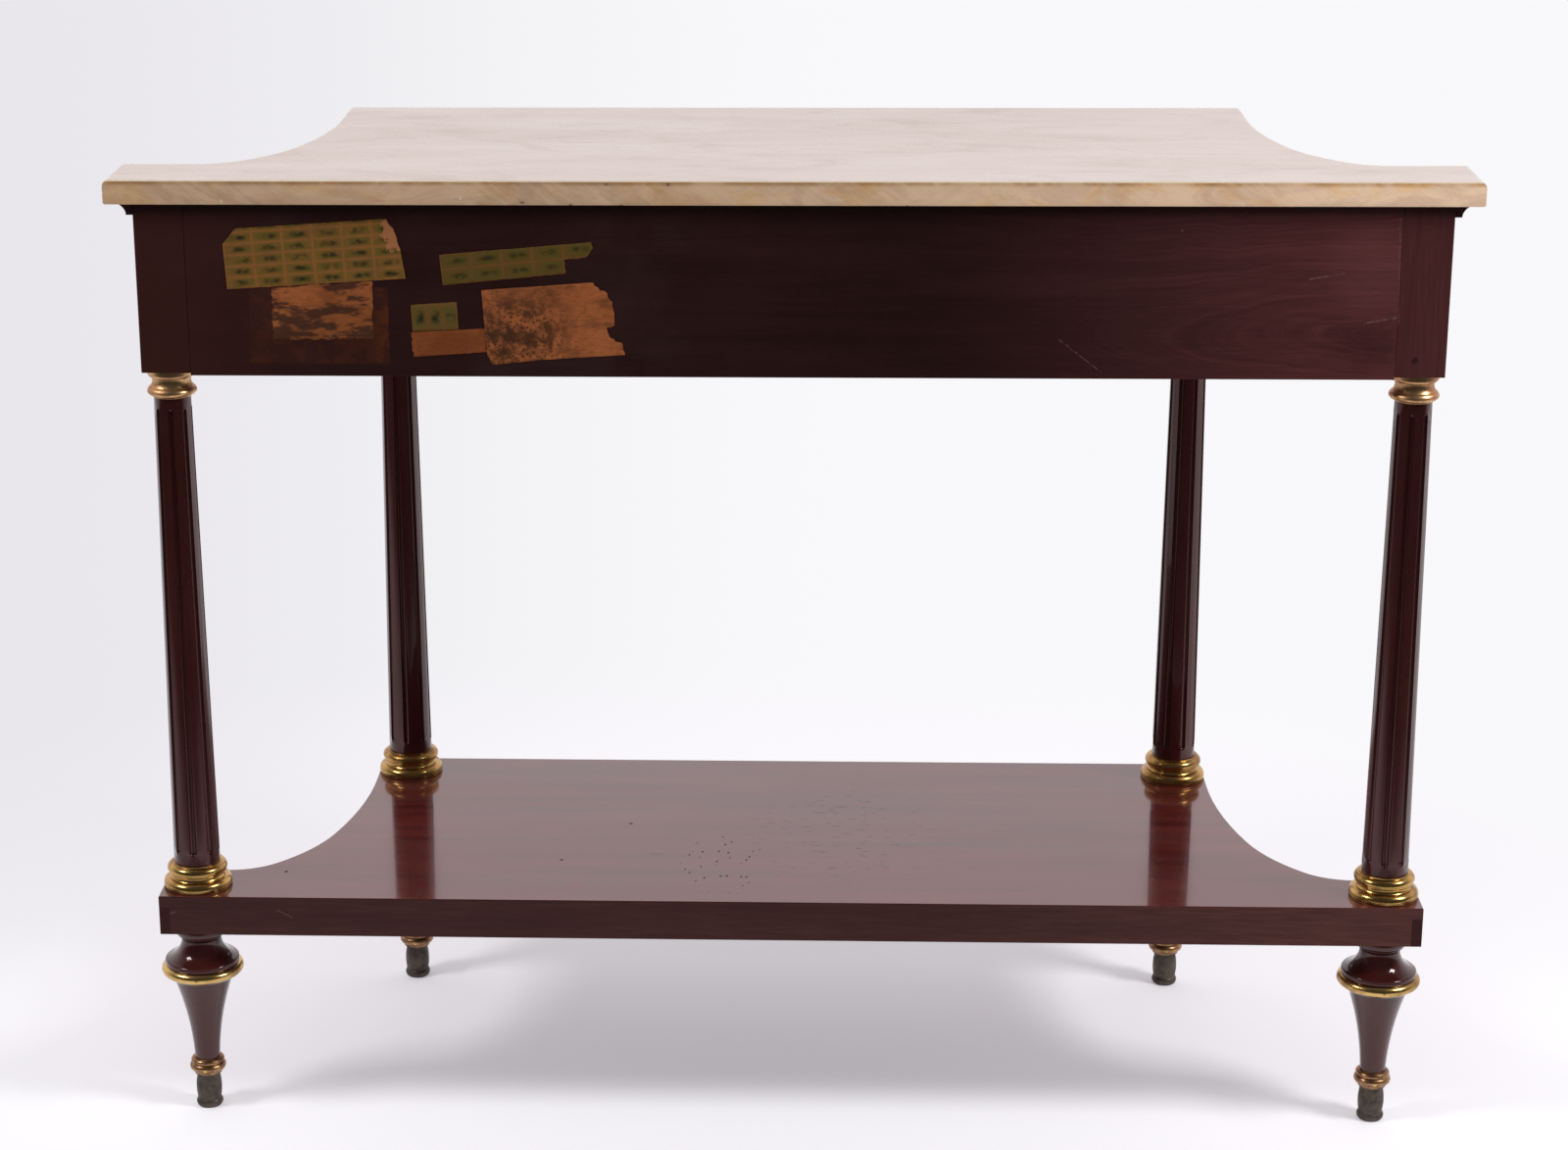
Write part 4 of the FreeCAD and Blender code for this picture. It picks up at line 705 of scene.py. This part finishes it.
def marble(name):
    """Cream marble, polished on top, sawn and stained with age along the back edge."""
    made, g = material(name)
    place = g.place()
    polished_colour, haze = marble_top_colour(g, place)
    backward = g.smooth(g.facing("Y"), 0.6, 0.95)
    turned = g.stretched(place, (1.0, 1.0, 1.0), (0.0, STREAK_TURN, 0.0))
    streaks = g.patches(g.stretched(turned, STREAK_STRETCH), 1.6, 0.32, 0.68, detail=5.0, roughness=0.7)
    relief = g.total((streaks, backward), (g.noise(place, 30.0, detail=2.0), 0.06))
    g.surface(
        base_color=g.mix(backward, polished_colour, sawn_colour(g, place, streaks)),
        roughness=g.plus(g.times(backward, 0.22), g.smooth(haze, 0.0, 1.0, 0.26, 0.36)),
        specular_ior_level=0.35,
        normal=g.bump(relief, depth=0.1 * MM),
    )
    return made


# ---- Metal ----

TOOL_RINGS = (20.0, 20.0, 2500.0)  # waves per metre along X, Y and Z
SHOE_BULB_TOP = 0.0345             # a shoe is dark and dull below this level
SHOE_BRASS = (0.45, 0.25, 0.125)
SHOE_BROWN = (0.15, 0.08, 0.045)
BULB_PALE = (0.078, 0.068, 0.056)
BULB_DARK = (0.046, 0.04, 0.036)


def metal(name, clean, tarnished, tarnish, gloss):
    """Turned metal: fine tool rings round Z, and tarnish in clouds and spots.

    tarnish is where in the noise the clouds start and are full. gloss is the roughness of clean
    and of tarnished metal.
    """
    made, g = material(name)
    place = g.scattered(g.place())
    clouds = g.patches(place, 34.0, *tarnish, detail=5.0, roughness=0.65, distortion=0.6)
    spots = g.patches(place, 520.0, 0.62, 0.72, roughness=0.6)
    cover = g.most(clouds, g.times(spots, 0.7))
    rings = g.noise(g.stretched(place, TOOL_RINGS), 1.0, detail=2.0)
    g.surface(
        base_color=g.mix(cover, clean, tarnished),
        metallic=1.0,
        roughness=g.smooth(cover, 0.0, 1.0, *gloss),
        normal=g.bump(g.total((rings, 0.5), (clouds, 0.4)), depth=0.02 * MM),
    )
    return made


def shoe_metal(name):
    """Old brass: copper-brown beads over a dark green-grey bulb."""
    made, g = material(name)
    own_place = g.place()
    _, _, z = g.parts(own_place)
    place = g.scattered(own_place)
    clouds = g.patches(place, 90.0, 0.35, 0.68, detail=5.0, roughness=0.65, distortion=0.5)
    dull = g.times(g.below(z, SHOE_BULB_TOP, 1.2 * MM), 0.92)
    beads = g.mix(clouds, SHOE_BRASS, SHOE_BROWN)
    bulb = g.mix(clouds, BULB_PALE, BULB_DARK)
    g.surface(
        base_color=g.mix(dull, beads, bulb),
        metallic=g.smooth(dull, 0.0, 1.0, 1.0, 0.55),
        roughness=g.plus(g.times(clouds, 0.12), g.smooth(dull, 0.0, 1.0, 0.27, 0.44)),
        normal=g.bump(clouds, depth=0.05 * MM),
    )
    return made


# ---- Old paper labels on the back board: plain, with no writing ----

# Each outline is read from the photograph in pixels, and the number of each torn edge follows it.
SHEET = ((227, 249), (240, 233), (394, 223), (401, 233), (408, 253), (414, 284), (232, 295))
SHEET_TORN = (2, 3)
SHEET_GRID = ((232, 295), (414, 284), (225, 234))  # lower left, lower right and upper left
SHEET_TEAR = ((399, 238), (7 * MM, 15 * MM))       # the middle's pixel, and half sizes
SCRAP = ((277, 293), (380, 287), (381, 346), (279, 346))
SCRAP_TORN = (0, 1, 2, 3)
STRIP = ((448, 260), (603, 247), (605, 253), (597, 263), (575, 265), (577, 279), (452, 291))
STRIP_TORN = (1, 2, 3, 4)
SQUARE = ((419, 311), (466, 308), (468, 336), (421, 338))
SQUARE_TORN = ()
BAND = ((420, 339), (497, 335), (498, 359), (422, 364))
BAND_TORN = (3,)
NOTE = ((491, 296), (605, 288), (612, 296), (617, 297), (625, 308), (627, 332), (619, 334), (623, 345),
        (631, 349), (635, 350), (638, 362), (554, 367), (503, 372), (497, 359))
NOTE_TORN = (1, 2, 3, 4, 5, 6, 7, 8, 9, 12)
NOTE_SPOTS = ((526, 344), (54, 46))                # pixels of middle and half sizes

PAPER_THICKNESS = 0.25 * MM
PAPER_STEP = 3.0 * MM
STEP_JITTER = 0.25         # how far its inner points stray, as a share of the step
WELD_DISTANCE = 1e-6
CUT_WAVER = 0.12 * MM      # how far an edge strays from its line
TORN_WAVER = 0.9 * MM
CREASE_HEIGHT = 0.15 * MM
CREASE_WAVES = (260, 340)  # radians per metre along X and Z
CURL_HEIGHT = 0.25 * MM
FLAT_LIFT = 0.05 * MM      # how far a label stands off the board, and one over another
LAPPED_LIFT = 0.1 * MM
UPPER_LIFT = 0.35 * MM
FIRST_SEED = 11

PAPER_ROUGHNESS = 0.85
PAPER_SPECULAR = 0.04
RULE_COLOUR = (0.26, 0.088, 0.028)
SMUDGE_COLOUR = (0.014, 0.018, 0.007)
SOIL_COLOUR = (0.11, 0.05, 0.022)
BARE_COLOUR = (0.33, 0.13, 0.056)
SMUDGE_COLUMNS = (0.3, 0.8)  # where in a cell's width its smudge is
SMUDGE_SOFTNESS = 0.16


def edge_points(outline, torn, dice):
    """The outline on the board, (x, z), with a small waver on its edges and a large one where torn."""
    corners = [Vector(on_board(pixel)) for pixel in outline]
    points = []
    for number, corner in enumerate(corners):
        side = corners[(number + 1) % len(corners)] - corner
        normal = Vector((-side.y, side.x)).normalized()
        steps = max(1, round(side.length / PAPER_STEP))
        waver = TORN_WAVER if number in torn else CUT_WAVER
        points.append(corner)
        for step in range(1, steps):
            points.append(corner + side * (step / steps) + normal * dice.uniform(-waver, waver))
    return points


def inner_points(edge, dice):
    """Points on an uneven grid over the whole box of the edge."""
    left = min(point.x for point in edge)
    right = max(point.x for point in edge)
    low = min(point.y for point in edge)
    high = max(point.y for point in edge)
    points = []
    for column in range(1, int((right - left) / PAPER_STEP)):
        for row in range(1, int((high - low) / PAPER_STEP)):
            jitter = Vector((dice.uniform(-1, 1), dice.uniform(-1, 1))) * PAPER_STEP * STEP_JITTER
            points.append(Vector((left + column * PAPER_STEP, low + row * PAPER_STEP)) + jitter)
    return points


def crease_sheet(shape, lift, seed, dice):
    """Moves a flat sheet onto the board, with faint creases and an edge that curls up a little."""
    wave_x, wave_z = CREASE_WAVES
    for corner in shape.verts:
        crease = CREASE_HEIGHT * math.sin(corner.co.x * wave_x + seed)
        crease *= math.sin(corner.co.z * wave_z + 2 * seed)
        curl = CURL_HEIGHT * dice.random() if corner.is_boundary else 0.0
        corner.co.y = BACK_PLANE + lift + abs(crease) + curl


def lay_out_print(shape, grid):
    """The print's coordinates: 0 to 1 from the first corner of the grid to the other two."""
    print_layer = shape.loops.layers.uv.new("print")
    base, along, upward = (Vector(on_board(pixel)) for pixel in grid)
    length = along - base
    height = upward - base
    for face in shape.faces:
        for loop in face.loops:
            spot = Vector((loop.vert.co.x, loop.vert.co.z)) - base
            loop[print_layer].uv = (spot.dot(length) / length.length_squared,
                                    spot.dot(height) / height.length_squared)


def paper(seed, name, outline, torn, finish, lift, grid=None):
    """A thin sheet glued to the back board, slightly creased. lift is how far it stands off it.

    grid is what its print is square to: the pixels of its lower left, lower right and upper left.
    """
    dice = random.Random(seed)
    edge = edge_points(outline, torn, dice)
    points = edge + inner_points(edge, dice)
    rim = [(number, (number + 1) % len(edge)) for number in range(len(edge))]
    flat, _, faces, *_ = geometry.delaunay_2d_cdt(points, rim, [], 1, WELD_DISTANCE)
    mesh = bpy.data.meshes.new(name)
    mesh.from_pydata([(point.x, 0.0, point.y) for point in flat], [], faces)
    shape = bmesh.new()
    shape.from_mesh(mesh)
    crease_sheet(shape, lift, seed, dice)
    bmesh.ops.recalc_face_normals(shape, faces=shape.faces)
    lay_out_print(shape, grid or (outline[-1], outline[-2], outline[0]))
    bmesh.ops.solidify(shape, geom=shape.faces[:], thickness=PAPER_THICKNESS)
    shape.to_mesh(mesh)
    shape.free()
    for polygon in mesh.polygons:
        polygon.use_smooth = True
    piece = add_object(name, mesh)
    mesh.materials.append(finish)
    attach(piece, "body")


def paper_surface(g, colour, relief, depth):
    g.surface(base_color=colour, roughness=PAPER_ROUGHNESS, specular_ior_level=PAPER_SPECULAR,
              normal=g.bump(relief, depth))


def aged_paper(name, pale, brown, dark, foxing, cover, squeeze, spots=None):
    """Brown old paper with foxing, which is dark blotches.

    foxing is where in the noise the blotches start and are full, and cover is how dark they are.
    squeeze is how much narrower they are along each axis. spots is a place with many dark spots:
    its middle and half sizes in pixels.
    """
    made, g = material(name)
    place = g.place()
    x, _, z = g.parts(place)
    squeezed = g.stretched(place, squeeze)
    stains = g.patches(squeezed, 48.0, *foxing, detail=6.0, roughness=0.68)
    fine = g.patches(squeezed, 210.0, 0.42, 0.66, detail=5.0, roughness=0.65)
    colour = g.mix(g.patches(place, 22.0, detail=4.0), brown, pale)
    colour = g.paint(colour, dark, stains, cover)
    colour = g.paint(colour, dark, fine, 0.3)
    if spots:
        ragged_x, _, ragged_z = g.parts(g.ragged(place, 6 * MM, 50.0))
        field = g.ellipse(ragged_x, ragged_z, *pixel_ellipse(on_board, *spots), softness=0.6)
        blotches = g.patches(place, 85.0, 0.38, 0.62, detail=5.0, roughness=0.7)
        dots = g.below(g.cells(x, z, 210.0), 0.22, 0.1)
        colour = g.paint(colour, dark, field, g.times(g.most(blotches, dots), 0.92))
    fibres = g.noise(place, 900.0, detail=4.0, roughness=0.7)
    paper_surface(g, colour, g.total((fibres, 0.3), (stains, 0.7)), depth=0.1 * MM)
    return made


def ruled_paper(name, columns, rows, cell_shape, green, tan, rule_share, smudge=(0.95, 0.42), tear=None):
    """Paper ruled into cells by orange lines. Each cell has a green wash and a blurred dark patch.

    cell_shape is a cell's width over its height. smudge is the dark patch's (strength, height).
    tear is a place where its skin is gone: the pixel of its middle, and its half sizes.
    """
    made, g = material(name)
    place = g.place()
    across, up, _ = g.parts(g.add("UVMap", uv_map="print").outputs[0])
    column = g.times(across, columns)
    row = g.times(up, rows)
    from_column = g.times(g.math("PINGPONG", column, 0.5), cell_shape)
    from_line = g.math("MINIMUM", from_column, g.math("PINGPONG", row, 0.5))
    rule = g.below(from_line, 0.038, 0.035)
    wash = g.smooth(from_line, 0.04, 0.16)
    mottle = g.patches(place, 130.0, detail=4.0, roughness=0.6)
    colour = g.paint(tan, green, wash, g.smooth(mottle, 0.0, 1.0, 0.45, 0.95))
    uneven = g.patches(place, 60.0, 0.35, 0.65, 0.4, 1.0)
    colour = g.paint(colour, RULE_COLOUR, g.times(rule, uneven), rule_share)
    strength, height = smudge
    in_width = g.inside(g.math("FRACT", column), *SMUDGE_COLUMNS, SMUDGE_SOFTNESS)
    in_height = g.inside(g.math("FRACT", row), 0.5 - height / 2, 0.5 + height / 2, SMUDGE_SOFTNESS)
    flecks = g.patches(place, 150.0, 0.28, 0.62, detail=2.0)
    colour = g.paint(colour, SMUDGE_COLOUR, g.times(g.times(in_width, in_height), flecks), strength)
    soil = g.patches(place, 40.0, 0.5, 0.75, detail=5.0, roughness=0.65)
    colour = g.paint(colour, SOIL_COLOUR, soil, 0.35)
    if tear:
        middle, radii = tear
        ragged_x, _, ragged_z = g.parts(g.ragged(place, 9 * MM, 190.0))
        bare = g.ellipse(ragged_x, ragged_z, on_board(middle), radii, softness=0.12)
        colour = g.paint(colour, BARE_COLOUR, bare, 0.9)
    paper_surface(g, colour, g.plus(mottle, g.times(rule, -0.6)), depth=0.06 * MM)
    return made


def add_labels():
    orange = aged_paper("paper_orange", pale=(0.32, 0.1, 0.033), brown=(0.215, 0.066, 0.02),
                        dark=(0.04, 0.018, 0.013), foxing=(0.455, 0.54), cover=0.88,
                        squeeze=(0.5, 1.0, 1.6))
    foxed = aged_paper("paper_foxed", pale=(0.36, 0.113, 0.039), brown=(0.27, 0.083, 0.029),
                       dark=(0.04, 0.018, 0.01), foxing=(0.5, 0.7), cover=0.45,
                       squeeze=(0.8, 1.0, 2.2), spots=NOTE_SPOTS)
    plain = aged_paper("paper_plain", pale=(0.235, 0.068, 0.022), brown=(0.17, 0.047, 0.015),
                       dark=(0.07, 0.023, 0.01), foxing=(0.55, 0.75), cover=0.4,
                       squeeze=(1.0, 1.0, 1.7))
    sheet = ruled_paper("paper_sheet", columns=6, rows=5.35, cell_shape=2.2, green=(0.118, 0.082, 0.016),
                        tan=(0.215, 0.092, 0.027), rule_share=0.62, tear=SHEET_TEAR)
    strip = ruled_paper("paper_strip", columns=4, rows=2, cell_shape=1.9, green=(0.086, 0.064, 0.013),
                        tan=(0.112, 0.058, 0.015), rule_share=0.3, smudge=(0.85, 0.3))
    square = ruled_paper("paper_square", columns=3, rows=1, cell_shape=0.6, green=(0.096, 0.074, 0.018),
                         tan=(0.12, 0.064, 0.017), rule_share=0.08)
    labels = (
        ("label_scrap", SCRAP, SCRAP_TORN, orange, FLAT_LIFT),
        ("label_sheet", SHEET, SHEET_TORN, sheet, UPPER_LIFT, SHEET_GRID),
        ("label_strip", STRIP, STRIP_TORN, strip, FLAT_LIFT),
        ("label_band", BAND, BAND_TORN, plain, FLAT_LIFT),
        ("label_square", SQUARE, SQUARE_TORN, square, LAPPED_LIFT),
        ("label_note", NOTE, NOTE_TORN, foxed, UPPER_LIFT),
    )
    for seed, label in enumerate(labels, FIRST_SEED):
        paper(seed, *label)


# ---- Which finish each piece has ----

OAK = dict(dark=(0.2, 0.115, 0.055), light=(0.36, 0.225, 0.115), coat=0.0, coat_roughness=0.3,
           gloss=(0.5, 0.65))


def finish_table():
    """Rows of (one or more starts of a node's name, material). The first that fits counts."""
    turned = polished("mahogany_turned", "Z", dark=(0.023, 0.005, 0.0042), light=(0.044, 0.0094, 0.0078),
                      coat=0.5)
    feet = polished("mahogany_feet", "Z", dark=(0.036, 0.007, 0.0058), light=(0.064, 0.0125, 0.01),
                    coat=0.85, coat_roughness=0.03, specular=0.15)
    front = polished("mahogany_front", "X", dark=(0.05, 0.01, 0.0085), light=(0.1, 0.022, 0.018))
    side = polished("mahogany_side", "Y", dark=(0.05, 0.01, 0.0085), light=(0.095, 0.02, 0.017))
    brass = metal("brass", clean=(0.64, 0.43, 0.155), tarnished=(0.3, 0.155, 0.05),
                  tarnish=(0.42, 0.72), gloss=(0.22, 0.36))
    base = metal("brass_base", clean=(0.56, 0.35, 0.115), tarnished=(0.25, 0.12, 0.038),
                 tarnish=(0.4, 0.68), gloss=(0.21, 0.36))
    capital = metal("brass_capital", clean=(0.72, 0.455, 0.22), tarnished=(0.42, 0.2, 0.105),
                    tarnish=(0.38, 0.62), gloss=(0.33, 0.46))
    strips = end_grain("mahogany_strip")
    steel = metal("steel", clean=(0.5, 0.5, 0.51), tarnished=(0.22, 0.17, 0.14),
                  tarnish=(0.48, 0.75), gloss=(0.26, 0.48))
    oak_along = polished("oak_along", "Y", **OAK)
    oak_across = polished("oak_across", "X", **OAK)
    return [
        ("marble_top", marble("marble")),
        ("back_panel", back_board("mahogany_back", "X")),
        ("corner_block_back", back_board("mahogany_back_block", "Z")),
        (("corner_block", "column"), turned),
        (("foot_ring", "brass_nails", "drawer_moulding", "escutcheon"), brass),
        ("foot", feet),
        ("shelf_top", shelf_board("mahogany_shelf")),
        (("shelf_edge_front", "cornice_front", "top_rail", "bottom_rail", "drawer_front"), front),
        (("shelf_edge", "cornice"), strips),
        ("shelf_core", shelf_edge("mahogany_edge")),
        ("side_panel", side),
        (("drawer_side", "runner", "kicker"), oak_along),
        ("drawer", oak_across),
        ("capital", capital),
        ("base", base),
        ("shoe", shoe_metal("brass_shoe")),
        (("lock", "key"), steel),
    ]


def dress_nodes():
    table = finish_table()
    for name, piece in nodes.items():
        finish = next(made for start, made in table if name.startswith(start))
        piece.data.materials.clear()
        piece.data.materials.append(finish)


# ---- Floor, world and lamps ----

FLOOR_RADIUS = 16.0
FLOOR_COLOUR = (0.915, 0.9, 0.93)
FLOOR_GLOW = (0.262, 0.258, 0.276)  # added near the table, for the camera and reflections
GLOW_REACH = (0.55, 1.3)            # from the middle: where it gives way to the backdrop
# Painted shade: the backdrop is darker towards +X, the left.
SHADED_BACKDROP_LEFT = (0.815, 0.8, 0.835)
BACKDROP_RIGHT = (0.945, 0.94, 0.96)
LEFT_FADE = (-0.02, 0.24)           # sideways slope from the photograph's place, right to left, over which the painted shade grows
BEHIND_FADE = (0.4, 2.0)            # y where the painted shade on the left ends, towards the photograph's place
DARK_FADE = (0.45, 1.1)             # y where reflections of the floor turn dark
DARK_ROOM = (0.03, 0.028, 0.029)

ROOM_LEVEL = 0.33               # what lights matt surfaces from all sides
MIRRORED_ROOM = 0.2             # what polished surfaces reflect of the room, and of its dark camera side
MIRRORED_DARK = 0.06
MIRRORED_FADE = (0.05, 0.45)
BACKDROP_TINT = (1.0, 0.93, 0.96)
BACKDROP_SIDES = (-0.55, 0.15)  # direction's y where the lit backdrop is full, and ends
BACKDROP_TOP = (0.45, 0.9)      # direction's z where it starts to fade, and ends

AIM = Vector((0.0, 0.0, 0.4))
LAMP_AZIMUTH = 68
LAMP_ELEVATION = 38
LAMP_DISTANCE = 3.4
LAMP_SIZE = 0.8
RIGHT_POWER = 50
LEFT_POWER = 35


def floor_material():
    """Pale and matt near the table, a backdrop further off with painted shade towards the left, and dark
    behind the camera.
    """
    made, g = material("floor")
    place = g.place()
    x, y, _ = g.parts(place)
    rays = g.add("LightPath").outputs
    is_glossy = rays["Is Glossy Ray"]
    seen = g.most(rays["Is Camera Ray"], g.most(is_glossy, rays["Is Transmission Ray"]))
    inputs = {"Base Color": FLOOR_COLOUR, "Roughness": 0.9, "Specular IOR Level": 0.05}
    matt = g.add("BsdfPrincipled", inputs)
    glow = g.add("Emission", {"Color": FLOOR_GLOW, "Strength": seen})
    near = g.add("AddShader", {0: matt.outputs[0], 1: glow.outputs[0]})
    aside = g.math("DIVIDE", x, g.minus(CAMERA_PLACE.y, g.math("MINIMUM", y, 0.0)))
    # Painted shade: the backdrop darkens towards +X.
    left_shade = g.times(g.smooth(aside, *LEFT_FADE), g.smooth(y, *BEHIND_FADE, 1.0, 0.0))
    backdrop = g.add("Emission", {"Color": g.mix(left_shade, BACKDROP_RIGHT, SHADED_BACKDROP_LEFT)})
    away = g.smooth(g.length(place), *GLOW_REACH)
    shade = g.add("MixShader", {0: g.times(away, seen), 1: near.outputs[0], 2: backdrop.outputs[0]})
    dark = g.add("Emission", {"Color": DARK_ROOM})
    behind_camera = g.times(is_glossy, g.smooth(y, *DARK_FADE))
    shade = g.add("MixShader", {0: behind_camera, 1: shade.outputs[0], 2: dark.outputs[0]})
    g.output(shade.outputs[0])
    return made


def add_floor():
    mesh = bpy.data.meshes.new("floor")
    shape = bmesh.new()
    bmesh.ops.create_circle(shape, cap_ends=True, segments=96, radius=FLOOR_RADIUS)
    shape.to_mesh(mesh)
    shape.free()
    floor = add_object("floor", mesh)
    mesh.materials.append(floor_material())


def add_world():
    """A pale backdrop towards -Y and a dimmer room elsewhere; the camera sees plain near-white."""
    world = bpy.data.worlds.new("studio")
    bpy.context.scene.world = world
    world.use_nodes = True
    g = Graph(world.node_tree)
    _, y, z = g.parts(g.add("TexCoord").outputs["Generated"])
    towards = g.smooth(y, *BACKDROP_SIDES, 1.0, 0.0)
    low = g.smooth(z, *BACKDROP_TOP, 1.0, 0.0)
    rays = g.add("LightPath").outputs
    mirrored = g.smooth(y, *MIRRORED_FADE, MIRRORED_ROOM, MIRRORED_DARK)
    room = g.mix(rays["Is Glossy Ray"], (ROOM_LEVEL,) * 3, g.grey(mirrored))
    light = g.add("Background", {"Color": g.mix(g.times(towards, low), room, BACKDROP_TINT)})
    seen = g.add("Background", {"Color": BACKDROP_RIGHT})
    shade = g.add("MixShader", {0: rays["Is Camera Ray"], 1: light.outputs[0], 2: seen.outputs[0]})
    g.output(shade.outputs[0], "OutputWorld")


def add_lamp(name, side, power):
    """A softbox aimed at the table. side is 1 towards the photograph's right, and -1 to its left."""
    turn = math.radians(side * LAMP_AZIMUTH)
    rise = math.radians(LAMP_ELEVATION)
    way = Vector((-math.sin(turn) * math.cos(rise), math.cos(turn) * math.cos(rise), math.sin(rise)))
    data = bpy.data.lights.new(name, "AREA")
    data.shape = "SQUARE"
    data.size = LAMP_SIZE
    data.energy = power
    lamp = add_object(name, data)
    lamp.location = AIM + way * LAMP_DISTANCE
    lamp.rotation_euler = way.to_track_quat("Z", "Y").to_euler()
    lamp.visible_camera = False


add_camera()
add_floor()
add_world()
add_lamp("softbox_right", 1, RIGHT_POWER)
add_lamp("softbox_left", -1, LEFT_POWER)
dress_nodes()
add_labels()

bpy.context.scene.view_settings.view_transform = "Standard"
